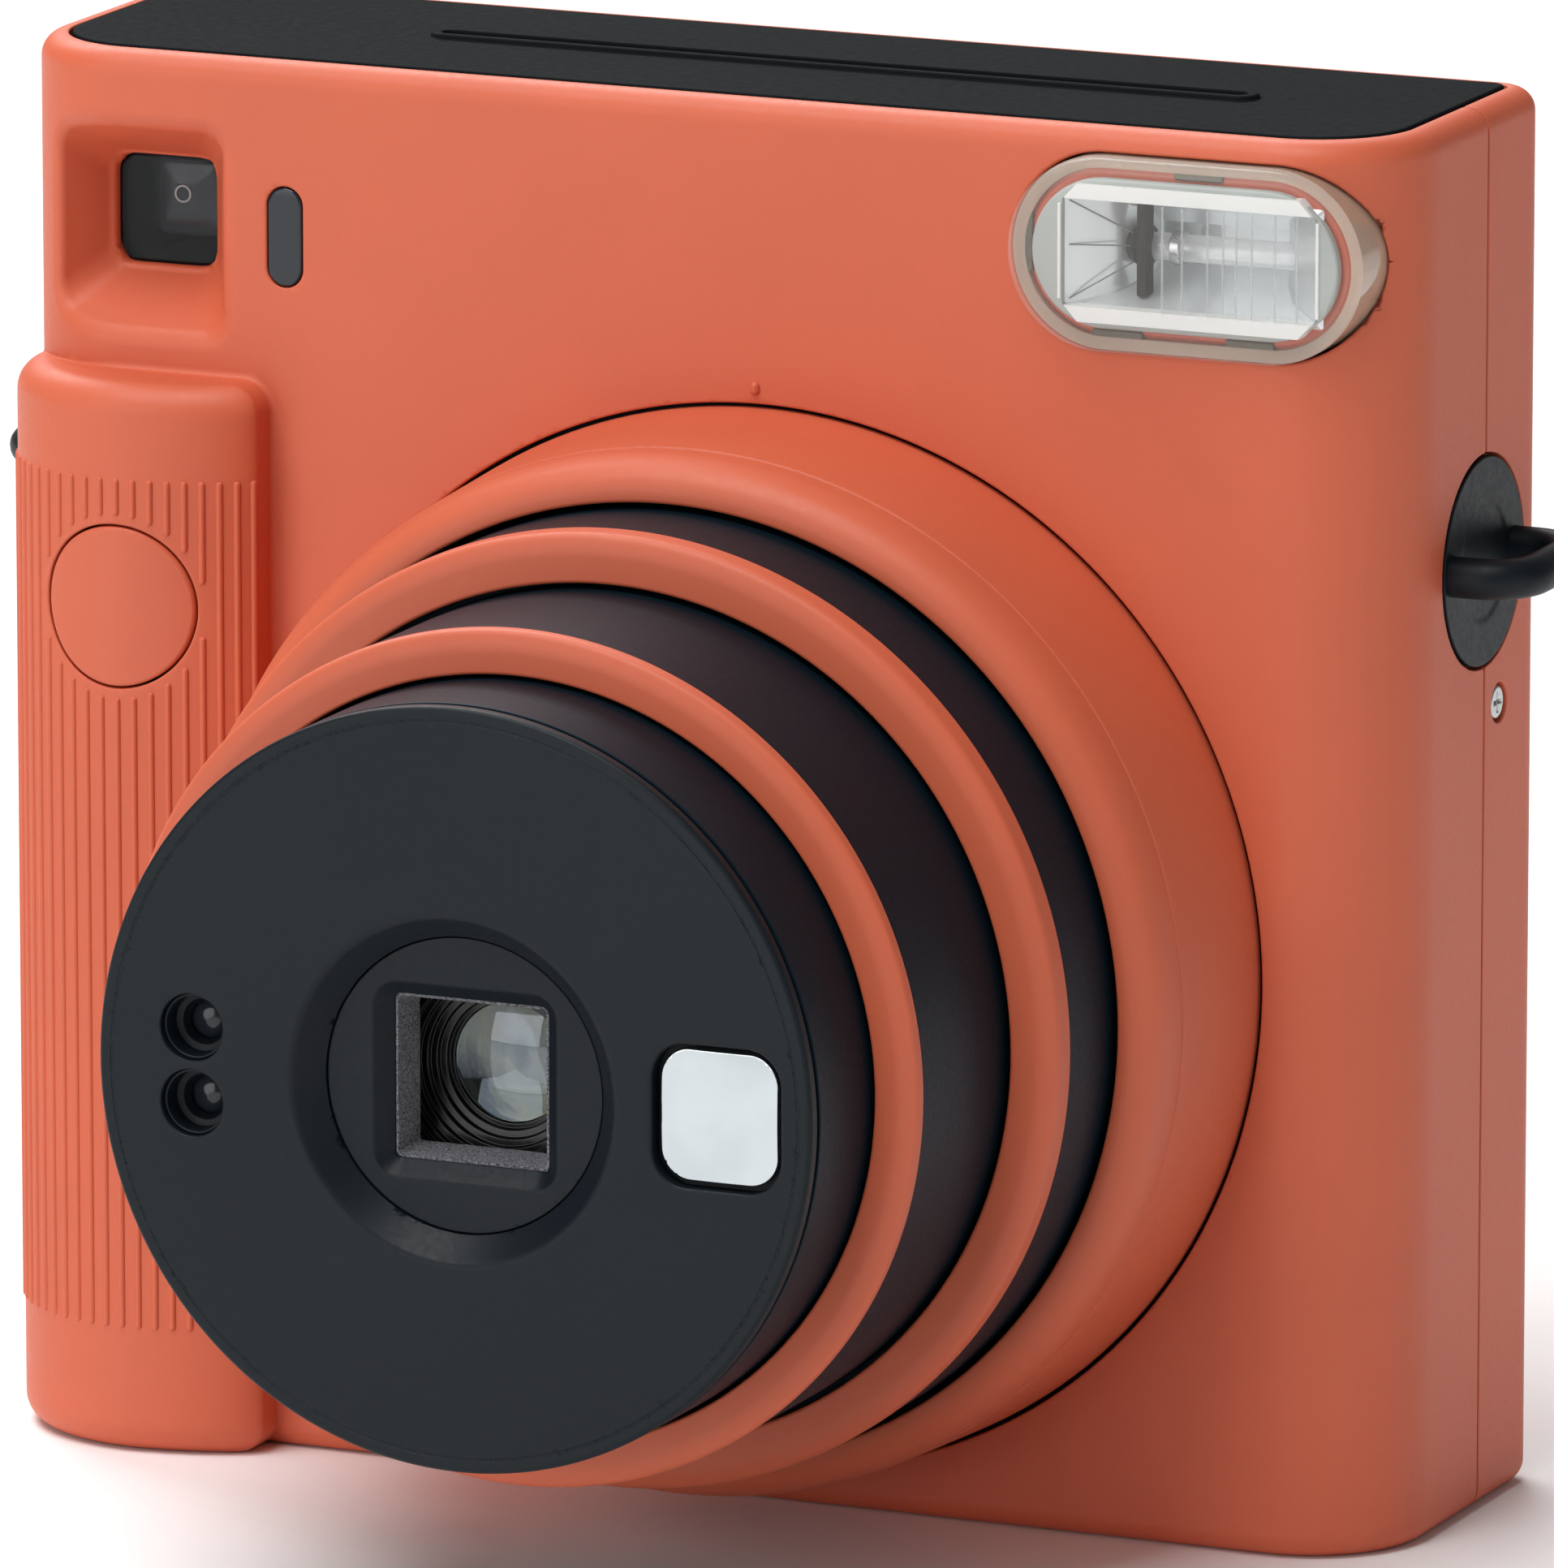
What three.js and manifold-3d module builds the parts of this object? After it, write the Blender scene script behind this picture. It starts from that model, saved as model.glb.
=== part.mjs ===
// Instant camera whose lens telescopes out of the body when its dial is turned.
// Units are millimetres. +Z is up, the front faces -Y and +X is to the right as seen from the front.
// The origin is at the centre of the base. The lens is modelled extended, as the camera is used.

import * as THREE from 'three';
import { mergeVertices } from 'three/addons/utils/BufferGeometryUtils.js';
import Module from 'manifold-3d';

const wasm = await Module();
wasm.setup();

// ---------------------------------------------------------------------------------------------
// Driving dimensions
// ---------------------------------------------------------------------------------------------

const GAP = 0.3;                    // space left between pieces that meet

const BODY = { halfWidth: 64.65, halfDepth: 18, height: 122.2, wall: 2.2, edge: 2,
               frontCorner: 11, backCorner: 4 };
const PARTING_Y = 4;                // where the front and back covers meet
const CEILING_Z = 118.6;            // underside of the covers' top wall
const FLOOR_Z = BODY.wall;

const LENS_AXIS = { x: 7, z: 49.7 };
const DIAL = { baseRadius: 46.1, frontRadius: 45.2, innerRadius: 43.9, mouthRadius: 41.4,
               back: -17.2, shoulder: -32.5, face: -37.5 };
const CAM_RING = { inner: 42.9, outer: 43.6, back: -16, front: -34.8 };
const GUIDE = { inner: 41.6, outer: 42.6, flange: 46.9, back: -14, front: -34.8 };
const OUTER = { inner: 39.6, outer: 40.85, back: -33, front: -46.2,
                capOuter: 41.05, capInner: 36.8, capFace: -49.5, capBack: -46.5 };
const MIDDLE = { inner: 35.1, outer: 36.3, back: -45, front: -66.2, stopRadius: 39.2,
                 capOuter: 36.45, capInner: 32.7, capFace: -68.2, capBack: -66.5 };
const CARRIER = { inner: 32.9, outer: 34.7, back: -58, front: -65.8 };
const FRONT = { inner: 31.2, outer: 32.35, back: -57.5, face: -80.1, rim: 1.5, discBack: -76.4 };
const LENS_RECESS = { mouthRadius: 14.7, floorRadius: 12.6, depth: 2.4 };
const HOOD = { radius: 12.3, opening: 14, back: -73, front: -77.6 };
const CELL = { outer: 12, inner: 9.3, back: -59.5, front: -72.7 };
const EYE_OFFSET = 23.8;            // sensor holes and mirror, each side of the lens axis
const SENSOR = { holeRadius: 2.85, radius: 2.5, noseRadius: 1.4, offsetZ: 3.2 };
const MIRROR = { width: 10.5, height: 11.1, corner: 2.6, clearance: 0.55, depth: 1.6 };

const GRIP = { right: -38.8, wallEnd: -20.8, peakX: -50.4, tip: -25.2, sideStart: -12, top: 94.5, edge: 1.8 };
const BUTTON = { x: -50.4, z: 75.1, radius: 7, stemRadius: 3, innerFace: -21.6, stemEnd: -17.6 };
const SHUTTER_SWITCH = { size: 8, depth: 3.4, clearance: 1.6 };

const FLASH = { x: 46.5, z: 111.8, width: 31.8, height: 16.6, face: -20.6, back: -11, wall: 1 };
const REFLECTOR = { width: 23.4, height: 11.2, front: -18.1, back: -9.6, wall: 0.6 };
const FINDER = { x: -52, z: 107.2, window: 9.2, pane: 1, windowY: -10.6, tube: 12.4, tubeBack: 15.2,
                 mouthLeft: -61.5, mouthRight: -43.2, mouthBottom: 97.7, mouthTop: 115.9 };
const EYEPIECE = { radius: 5, seatRadius: 4, front: 15.5, back: 18.6 };
const SENSOR_PILL = { x: -37.45, z: 107.15, width: 3.3, height: 8.7 };
const TOP_PLATE = { inset: 2.7, floor: 120.9, bottom: 121.2, top: 122.4 };
const EXIT_SLOT = { width: 77, y: -0.5, opening: 1.8, lipWidth: 3.4, lipHeight: 0.4 };

const CHAMBER = { left: -34.5, right: 48.5, bottom: 9.6, top: 100.4, front: 1, back: 15.4, wall: 1.5 };
const GATE_SIZE = 63;               // square opening that frames the picture
const DARK_CHAMBER = { size: 76, front: -13.2, back: -1.5, frontOpening: 56, backOpening: 62 };
const ROLLERS = { nipY: 0.5, z: 107, radius: 4.1, pitchRadius: 4.3, shaft: 1.2, left: -27, right: 41 };
const GEARS = { module: 8.6 / 14, left: -39.2, right: -36.7,
                rollerTeeth: 14, driveTeeth: 26, pinionTeeth: 8 };
const MOTOR = { radius: 6.5, left: -58.5, right: -41 };
const CLAW = { left: -38.6, right: -37.2, back: 3, bottom: 22, top: 70, hook: 2 };

const DOOR = { left: -38, right: 57.6, bottom: 6, top: 104, inner: 16.2, outer: 20.3, skin: 2,
               hingeX: 59.6, hingeY: 18.8, hingeBottom: 8, hingeTop: 102, knuckle: 1.5, pin: 0.7,
               opens: [[24.4, 45.6], [64.4, 85.6]] };
const DOOR_WINDOW = { z: 70, width: 16, height: 34, corner: 3, front: 18.6, back: 20.1 };
const FILM_SPRING = { length: 20, bow: 2.8, thickness: 0.4, width: 8, bottom: 26 };
const LATCH = { x: -42.5, z: 58, width: 4.4, height: 9, travel: 3 };
const BATTERY = { x: -54.2, y: -4.9, radius: 7.8, length: 27, lowest: 8.9 };
const BATTERY_HOLDER = { wall: 1.6, spring: 1.6, side: 0.9 };
const CONTACT = { radius: 5, thickness: 0.8 };
const BATTERY_DOOR = { front: -13, hingeX: -63.5, hingeY: 2.4, knuckle: 1.1, pin: 0.6, bottom: 5, top: 68,
                       thickness: 2 };
const CAPACITOR = { x: 57.9, y: 6, z: 12, radius: 4.2, length: 32, dimple: 0.4 };
const CIRCUIT_BOARD = { left: 52, thickness: 1.4, front: -12, back: 13, bottom: 10, top: 98,
                        blocks: [[20, 9, 6], [46, 12, 8], [72, 8, 6]] };
const LUG = { y: 3.7, z: 83.3, discRadius: 9, discThickness: 1, rod: 1.75, legOffset: 7.1, reach: 5.95,
              corner: 4.2, bossRadius: 4, bossDepth: 4 };
const SCREW = { y: 7.6, z: 70.3, headRadius: 1.45, shankRadius: 0.8, length: 5, recess: 1.2, slot: 0.4 };
const COUNTER = { x: -51, z: 22, radius: 7.5, windowWidth: 8, windowHeight: 6, windowZ: 26, corner: 1.5 };
const FRONT_LENS = { radius: 9, front: -70, back: -66.5, bulge: 1.6 };
const REAR_LENS = { radius: 9, front: -62.5, back: -60, bulge: 1.2 };

const LENS_SEGMENTS = 36;          // sides of the rings about the lens axis
const GRIP_STEPS = 6;              // steps in each curve of the grip
const DISC_SEGMENTS = 24;          // sides of middling round pieces
const ROD_SEGMENTS = 14;           // sides of shafts and small rods

// ---------------------------------------------------------------------------------------------
// Looks
// ---------------------------------------------------------------------------------------------

const LOOKS = {
  orange: { color: 0xc9603c, roughness: 0.55, metalness: 0 },
  black: { color: 0x25282b, roughness: 0.6, metalness: 0 },
  barrel: { color: 0x1d2228, roughness: 0.4, metalness: 0 },
  clear: { color: 0xe4e8e2, roughness: 0.1, metalness: 0, transparent: true, opacity: 0.4 },
  tinted: { color: 0x20262c, roughness: 0.1, metalness: 0 },
  glass: { color: 0x93a7ad, roughness: 0.05, metalness: 0, transparent: true, opacity: 0.4 },
  mirror: { color: 0xdfe3e6, roughness: 0.03, metalness: 1 },
  silver: { color: 0xc9cccd, roughness: 0.25, metalness: 1 },
  steel: { color: 0x9da1a4, roughness: 0.35, metalness: 1 },
  brass: { color: 0xb9995a, roughness: 0.35, metalness: 1 },
  white: { color: 0xe8e8e4, roughness: 0.5, metalness: 0 },
  board: { color: 0x1f5a38, roughness: 0.5, metalness: 0 },
};

// ---------------------------------------------------------------------------------------------
// Solids: three.js geometry in, one closed solid out
// ---------------------------------------------------------------------------------------------

function toSolid(geometry) {
  if (!geometry.isBufferGeometry) return geometry;
  const bare = geometry.clone();
  bare.deleteAttribute('normal');
  bare.deleteAttribute('uv');
  const merged = mergeVertices(bare, 1e-4);
  const corners = merged.index.array;
  const triVerts = [];
  for (let i = 0; i < corners.length; i += 3) {
    const [a, b, c] = [corners[i], corners[i + 1], corners[i + 2]];
    if (a !== b && b !== c && c !== a) triVerts.push(a, b, c);
  }
  const vertProperties = new Float32Array(merged.attributes.position.array);
  const mesh = new wasm.Mesh({ numProp: 3, vertProperties, triVerts: new Uint32Array(triVerts) });
  return new wasm.Manifold(mesh);
}

function toGeometry(solid) {
  const mesh = solid.getMesh();
  const geometry = new THREE.BufferGeometry();
  geometry.setAttribute('position', new THREE.BufferAttribute(new Float32Array(mesh.vertProperties), 3));
  geometry.setIndex(new THREE.BufferAttribute(new Uint32Array(mesh.triVerts), 1));
  geometry.computeVertexNormals();
  return geometry;
}

function join(first, ...others) {
  return others.reduce((whole, piece) => whole.add(toSolid(piece)), toSolid(first));
}

function cut(first, ...others) {
  return others.reduce((whole, piece) => whole.subtract(toSolid(piece)), toSolid(first));
}

function common(first, second) {
  return toSolid(first).intersect(toSolid(second));
}

// ---------------------------------------------------------------------------------------------
// Basic shapes. A section is drawn flat and then stands along one axis of the camera.
// ---------------------------------------------------------------------------------------------

function box(x0, x1, y0, y1, z0, z1) {
  const geometry = new THREE.BoxGeometry(x1 - x0, y1 - y0, z1 - z0);
  return geometry.translate((x0 + x1) / 2, (y0 + y1) / 2, (z0 + z1) / 2);
}

function roundedRect(x0, x1, y0, y1, corners) {
  const radii = Array.isArray(corners) ? corners : Array(4).fill(corners);
  const [lowLeft, lowRight, highRight, highLeft] = radii;
  const shape = new THREE.Shape();
  shape.moveTo(x0 + lowLeft, y0);
  shape.lineTo(x1 - lowRight, y0);
  shape.absarc(x1 - lowRight, y0 + lowRight, lowRight, -Math.PI / 2, 0, false);
  shape.lineTo(x1, y1 - highRight);
  shape.absarc(x1 - highRight, y1 - highRight, highRight, 0, Math.PI / 2, false);
  shape.lineTo(x0 + highLeft, y1);
  shape.absarc(x0 + highLeft, y1 - highLeft, highLeft, Math.PI / 2, Math.PI, false);
  shape.lineTo(x0, y0 + lowLeft);
  shape.absarc(x0 + lowLeft, y0 + lowLeft, lowLeft, Math.PI, Math.PI * 1.5, false);
  return shape;
}

function centredRect(x, y, width, height, corner) {
  return roundedRect(x - width / 2, x + width / 2, y - height / 2, y + height / 2, corner);
}

// A slot outline with round ends, lying along whichever side is longer.
function stadium(x, y, width, height) {
  const radius = Math.min(width, height) / 2;
  const reachX = width / 2 - radius;
  const reachY = height / 2 - radius;
  const start = width > height ? -Math.PI / 2 : 0;
  const shape = new THREE.Shape();
  shape.absarc(x + reachX, y + reachY, radius, start, start + Math.PI, false);
  shape.absarc(x - reachX, y - reachY, radius, start + Math.PI, start + Math.PI * 2, false);
  return shape;
}

function extruded(shape, length, edge, curveSegments) {
  const rounding = edge > 0
    ? { bevelEnabled: true, bevelThickness: edge, bevelSize: edge, bevelOffset: -edge, bevelSegments: 2 }
    : { bevelEnabled: false };
  const geometry = new THREE.ExtrudeGeometry(shape, { depth: length - 2 * edge, curveSegments, ...rounding });
  return geometry.translate(0, 0, edge);
}

function uprightPrism(shape, z0, z1, edge = 0, curveSegments = 3) {
  return extruded(shape, z1 - z0, edge, curveSegments).translate(0, 0, z0);
}

// The section is drawn in X and Z, and the prism runs from y0, its front, to y1.
function frontalPrism(shape, y0, y1, edge = 0, curveSegments = 3) {
  return extruded(shape, y1 - y0, edge, curveSegments).rotateX(Math.PI / 2).translate(0, y1, 0);
}

// The section is drawn in Y and Z, and the prism runs from x0 to x1.
function sidewaysPrism(shape, x0, x1, curveSegments = 3) {
  const geometry = extruded(shape, x1 - x0, 0, curveSegments);
  const turn = new THREE.Matrix4().makeBasis(
    new THREE.Vector3(0, 1, 0), new THREE.Vector3(0, 0, 1), new THREE.Vector3(1, 0, 0));
  return geometry.applyMatrix4(turn).translate(x0, 0, 0);
}

function circle(x, y, radius) {
  return new THREE.Shape().absarc(x, y, radius, 0, Math.PI * 2, false);
}

function rodX(radius, x0, x1, y, z, segments = ROD_SEGMENTS) {
  const geometry = new THREE.CylinderGeometry(radius, radius, x1 - x0, segments);
  return geometry.rotateZ(Math.PI / 2).translate((x0 + x1) / 2, y, z);
}

// A rod along X on one side of the camera: side is 1 for the right and -1 for the left.
function sideRod(side, radius, near, far, y, z, segments = ROD_SEGMENTS) {
  return rodX(radius, Math.min(side * near, side * far), Math.max(side * near, side * far), y, z, segments);
}

function rodY(radius, y0, y1, x, z, segments = ROD_SEGMENTS) {
  return new THREE.CylinderGeometry(radius, radius, y1 - y0, segments).translate(x, (y0 + y1) / 2, z);
}

function rodZ(radius, z0, z1, x, y, segments = ROD_SEGMENTS) {
  const geometry = new THREE.CylinderGeometry(radius, radius, z1 - z0, segments);
  return geometry.rotateX(Math.PI / 2).translate(x, y, (z0 + z1) / 2);
}

// A turned piece about the Y axis. The profile is a loop of [radius, y] points.
function turned(points, segments = LENS_SEGMENTS) {
  const area = points.reduce((sum, [r, y], i) => {
    const [nextR, nextY] = points[(i + 1) % points.length];
    return sum + (r * nextY - nextR * y);
  }, 0);
  const loop = area > 0 ? [...points] : [...points].reverse();
  loop.push(loop[0]);
  return new THREE.LatheGeometry(loop.map(([r, y]) => new THREE.Vector2(r, y)), segments);
}

function sleeve(inner, outer, front, back, segments = LENS_SEGMENTS) {
  return turned([[inner, front], [outer, front], [outer, back], [inner, back]], segments);
}

// ---------------------------------------------------------------------------------------------
// The scene graph
// ---------------------------------------------------------------------------------------------

const camera = new THREE.Group();
const lens = new THREE.Group();
lens.position.set(LENS_AXIS.x, 0, LENS_AXIS.z);
camera.add(lens);

function place(name, solid, look, parent = camera, x = 0, y = 0, z = 0) {
  const mesh = new THREE.Mesh(toGeometry(toSolid(solid)), new THREE.MeshStandardMaterial(LOOKS[look]));
  mesh.name = name;
  mesh.position.set(x, y, z);
  parent.add(mesh);
}

// ---------------------------------------------------------------------------------------------
// Body shells
// ---------------------------------------------------------------------------------------------

// The body's plan, drawn this far inside its outer face.
function bodyPlan(inset) {
  const halfWidth = BODY.halfWidth - inset;
  const halfDepth = BODY.halfDepth - inset;
  const front = BODY.frontCorner - inset;
  const back = Math.max(BODY.backCorner - inset, 0.5);
  return roundedRect(-halfWidth, halfWidth, -halfDepth, halfDepth, [front, front, back, back]);
}

// The grip's plan: a bulge that starts on the left side and ends in a steep wall on the front.
function gripPlan(inset) {
  const left = -BODY.halfWidth + inset;
  const right = GRIP.right - inset;
  const tip = GRIP.tip + inset;
  const { peakX, sideStart, wallEnd } = GRIP;
  const [round, flat] = [0.55, 0.4];   // how far each curve keeps to its end directions
  const shape = new THREE.Shape();
  shape.moveTo(right, PARTING_Y - 1);
  shape.lineTo(left, PARTING_Y - 1);
  shape.lineTo(left, sideStart);
  shape.bezierCurveTo(left, sideStart + (tip - sideStart) * round,
                      peakX + (left - peakX) * round, tip, peakX, tip);
  shape.bezierCurveTo(peakX + (right - peakX) * flat, tip,
                      right, wallEnd + (tip - wallEnd) * flat, right, wallEnd);
  shape.lineTo(right, PARTING_Y - 1);
  return shape;
}

function bodyOuter() {
  return join(uprightPrism(bodyPlan(0), 0, BODY.height, BODY.edge),
              uprightPrism(gripPlan(0), 0, GRIP.top, GRIP.edge, GRIP_STEPS));
}

function bodyInner() {
  return join(uprightPrism(bodyPlan(BODY.wall), FLOOR_Z, CEILING_Z),
              uprightPrism(gripPlan(BODY.wall), FLOOR_Z, GRIP.top - BODY.wall, 0, GRIP_STEPS));
}

function topPlatePocket() {
  return uprightPrism(bodyPlan(TOP_PLATE.inset - GAP), TOP_PLATE.floor, BODY.height + 1);
}

function rollerBay() {
  return box(CHAMBER.left - 1, CHAMBER.right + 1, -9.5, 10.5, CEILING_Z - 1, TOP_PLATE.floor + 1);
}

function lugCut(side) {
  const outer = BODY.halfWidth + 1;
  const floor = BODY.halfWidth - LUG.discThickness - GAP;
  const deep = BODY.halfWidth - LUG.bossDepth - 2;
  return join(sideRod(side, LUG.discRadius + GAP, floor, outer, LUG.y, LUG.z, DISC_SEGMENTS),
              sideRod(side, LUG.bossRadius + GAP, deep, outer, LUG.y, LUG.z));
}

function screwCut(side) {
  const outer = BODY.halfWidth + 1;
  const floor = BODY.halfWidth - SCREW.recess;
  const deep = BODY.halfWidth - SCREW.length;
  return join(sideRod(side, SCREW.headRadius + GAP, floor, outer, SCREW.y, SCREW.z),
              sideRod(side, SCREW.shankRadius + GAP, deep, outer, SCREW.y, SCREW.z));
}

// The viewfinder's funnel narrows from a wide mouth on the front to the window at its floor.
function finderFunnel() {
  const floorY = FINDER.windowY - 0.2;
  const mouthY = -BODY.halfDepth - 0.2;
  const half = FINDER.window / 2 + 0.8;
  const ring = (y, left, right, bottom, top) =>
    [left, y, bottom, right, y, bottom, right, y, top, left, y, top];
  const corners = [
    ...ring(mouthY, FINDER.mouthLeft, FINDER.mouthRight, FINDER.mouthBottom, FINDER.mouthTop),
    ...ring(floorY, FINDER.x - half, FINDER.x + half, FINDER.z - half, FINDER.z + half),
  ];
  const faces = [0, 1, 2, 0, 2, 3, 4, 6, 5, 4, 7, 6];
  for (let i = 0; i < 4; i += 1) {
    const next = (i + 1) % 4;
    faces.push(i, i + 4, next + 4, i, next + 4, next);
  }
  const geometry = new THREE.BufferGeometry();
  geometry.setAttribute('position', new THREE.Float32BufferAttribute(corners, 3));
  geometry.setIndex(faces);
  return geometry;
}

function batteryDoorOpening() {
  return box(-BODY.halfWidth - 1, -BODY.halfWidth + BODY.wall + 0.5, BATTERY_DOOR.front - GAP, PARTING_Y + 1,
             BATTERY_DOOR.bottom - GAP, BATTERY_DOOR.top + GAP);
}

function frontCover() {
  const frontHalf = box(-80, 80, -40, PARTING_Y, -1, 130);
  const paneBack = FINDER.windowY + FINDER.pane;
  const finderBlock = common(bodyOuter(), box(
    -70, FINDER.mouthRight + 1.6, -17, paneBack, FINDER.mouthBottom - 1.5, FINDER.mouthTop + 1.5));
  const holeSize = FINDER.window + 2 * GAP;
  const holeOutline = centredRect(FINDER.x, FINDER.z, holeSize, holeSize, 1.5);
  const finderHole = frontalPrism(holeOutline, -15, paneBack + 1);
  const shell = join(common(cut(bodyOuter(), bodyInner()), frontHalf), finderBlock);
  const buttonHole = rodY(BUTTON.radius + GAP, -40, -20, BUTTON.x, BUTTON.z, DISC_SEGMENTS);
  const dialHole = rodY(DIAL.baseRadius + 0.4, -25, -10, LENS_AXIS.x, LENS_AXIS.z, LENS_SEGMENTS);
  const flashHole = frontalPrism(
    stadium(FLASH.x, FLASH.z, FLASH.width + 2 * GAP, FLASH.height + 2 * GAP), -25, -8);
  const pillHole = frontalPrism(
    stadium(SENSOR_PILL.x, SENSOR_PILL.z, SENSOR_PILL.width + GAP, SENSOR_PILL.height + GAP), -25, -10);
  const hingeHole = rodZ(BATTERY_DOOR.pin + GAP, BATTERY_DOOR.bottom - 2, BATTERY_DOOR.top + 2,
                         BATTERY_DOOR.hingeX, BATTERY_DOOR.hingeY, 12);
  return cut(shell, topPlatePocket(), rollerBay(), finderFunnel(), finderHole, buttonHole, dialHole,
             flashHole, pillHole, batteryDoorOpening(), hingeHole, lugCut(1), lugCut(-1));
}

// The cover's knuckles fill the hinge line below, between and above the door's.
function coverKnuckles() {
  const lows = [DOOR.hingeBottom, ...DOOR.opens.map(([, high]) => high + GAP)];
  const highs = [...DOOR.opens.map(([low]) => low - GAP), DOOR.hingeTop];
  return lows.map((low, i) => rodZ(DOOR.knuckle, low, highs[i], DOOR.hingeX, DOOR.hingeY, 16));
}

function doorKnuckleRecesses() {
  return DOOR.opens.map(([low, high]) =>
    box(DOOR.right, DOOR.hingeX + DOOR.knuckle + GAP, 16.8, 25, low - GAP, high + GAP));
}

function hingePinBore() {
  return rodZ(DOOR.pin + GAP, DOOR.hingeBottom - 1, DOOR.hingeTop + 1, DOOR.hingeX, DOOR.hingeY, 12);
}

function backCover() {
  const backHalf = box(-80, 80, PARTING_Y + GAP, 40, -1, 130);
  const shell = common(cut(uprightPrism(bodyPlan(0), 0, BODY.height, BODY.edge), bodyInner()), backHalf);
  const doorHole = frontalPrism(
    roundedRect(DOOR.left - GAP, DOOR.right + GAP, DOOR.bottom - GAP, DOOR.top + GAP, 3), 10, 19);
  const eyepieceHole = rodY(EYEPIECE.radius + GAP, 10, 20, FINDER.x, FINDER.z, 16);
  const counterHole = frontalPrism(
    centredRect(COUNTER.x, COUNTER.windowZ, COUNTER.windowWidth + GAP, COUNTER.windowHeight + GAP,
                COUNTER.corner), 10, 20);
  const latchSlot = box(LATCH.x - 1.5, LATCH.x + 1.5, 10, 20, LATCH.z - 2.3 - LATCH.travel, LATCH.z + 2.3);
  return cut(join(shell, ...coverKnuckles()), doorHole, hingePinBore(), ...doorKnuckleRecesses(),
             topPlatePocket(), rollerBay(), eyepieceHole, counterHole, latchSlot,
             lugCut(1), lugCut(-1), screwCut(1), screwCut(-1));
}

function topPlate() {
  const plate = uprightPrism(bodyPlan(TOP_PLATE.inset), TOP_PLATE.bottom, TOP_PLATE.top);
  const lip = uprightPrism(stadium(LENS_AXIS.x, EXIT_SLOT.y, EXIT_SLOT.width, EXIT_SLOT.lipWidth),
                           TOP_PLATE.bottom, TOP_PLATE.top + EXIT_SLOT.lipHeight);
  const slot = uprightPrism(stadium(LENS_AXIS.x, EXIT_SLOT.y, EXIT_SLOT.width - 2, EXIT_SLOT.opening),
                            TOP_PLATE.bottom - 1, TOP_PLATE.top + 2);
  return cut(join(plate, lip), slot);
}

// ---------------------------------------------------------------------------------------------
// Film side: the chamber, its door and what moves the film
// ---------------------------------------------------------------------------------------------

// A box open at the back, with the picture gate in its front wall and two ears for the rollers.
function chassis() {
  const { left, right, bottom, top, front, back, wall } = CHAMBER;
  const tray = box(left - wall, right + wall, front - wall - 0.7, back, bottom - wall, top + wall);
  const hollow = box(left, right, front, back + 1, bottom, top);
  const gate = frontalPrism(centredRect(LENS_AXIS.x, LENS_AXIS.z, GATE_SIZE, GATE_SIZE, 0.5), -5, front + 1);
  const filmSlot = box(left + 3, right - 3, front + 0.1, front + 2.6, top - 1, top + wall + 1);
  const ears = [left - wall, right].map((x) => box(x, x + wall, -6.6, 8, top, ROLLERS.z + 4));
  const bearings = rollerCentres().map((y) =>
    rodX(ROLLERS.shaft + GAP, left - 5, right + 5, y, ROLLERS.z, 12));
  return cut(join(tray, ...ears), hollow, gate, filmSlot, ...bearings);
}

function rollerCentres() {
  return [ROLLERS.nipY - ROLLERS.pitchRadius, ROLLERS.nipY + ROLLERS.pitchRadius];
}

// A square funnel that keeps stray light off the film, wider at the film than at the lens.
function darkChamber() {
  const { size, front, back, frontOpening, backOpening } = DARK_CHAMBER;
  const outer = frontalPrism(centredRect(LENS_AXIS.x, LENS_AXIS.z, size, size, 3), front, back);
  const taper = new THREE.CylinderGeometry(
    backOpening * Math.SQRT1_2, frontOpening * Math.SQRT1_2, back - front + 1, 4).rotateY(Math.PI / 4);
  return cut(outer, taper.translate(LENS_AXIS.x, (front + back) / 2, LENS_AXIS.z));
}

function gearSection(teeth, phase) {
  const pitchRadius = GEARS.module * teeth / 2;
  const root = pitchRadius - 0.62;
  const tip = pitchRadius + 0.42;
  const step = Math.PI * 2 / teeth;
  const shape = new THREE.Shape();
  const point = (radius, angle) => [radius * Math.cos(angle), radius * Math.sin(angle)];
  shape.moveTo(...point(root, phase - 0.3 * step));
  for (let i = 0; i < teeth; i += 1) {
    const middle = phase + i * step;
    shape.lineTo(...point(root, middle - 0.3 * step));
    shape.lineTo(...point(tip, middle - 0.11 * step));
    shape.lineTo(...point(tip, middle + 0.11 * step));
    shape.lineTo(...point(root, middle + 0.3 * step));
  }
  return shape;
}

function gear(teeth, phase) {
  return sidewaysPrism(gearSection(teeth, phase), GEARS.left, GEARS.right);
}

// Each roller is a steel bar with its gear moulded on the left end, built about its own axis.
function roller(phase) {
  return join(rodX(ROLLERS.radius, ROLLERS.left, ROLLERS.right, 0, 0, 16),
              rodX(ROLLERS.shaft, GEARS.left, CHAMBER.right + CHAMBER.wall + 0.6, 0, 0, 10),
              gear(GEARS.rollerTeeth, phase));
}

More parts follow.
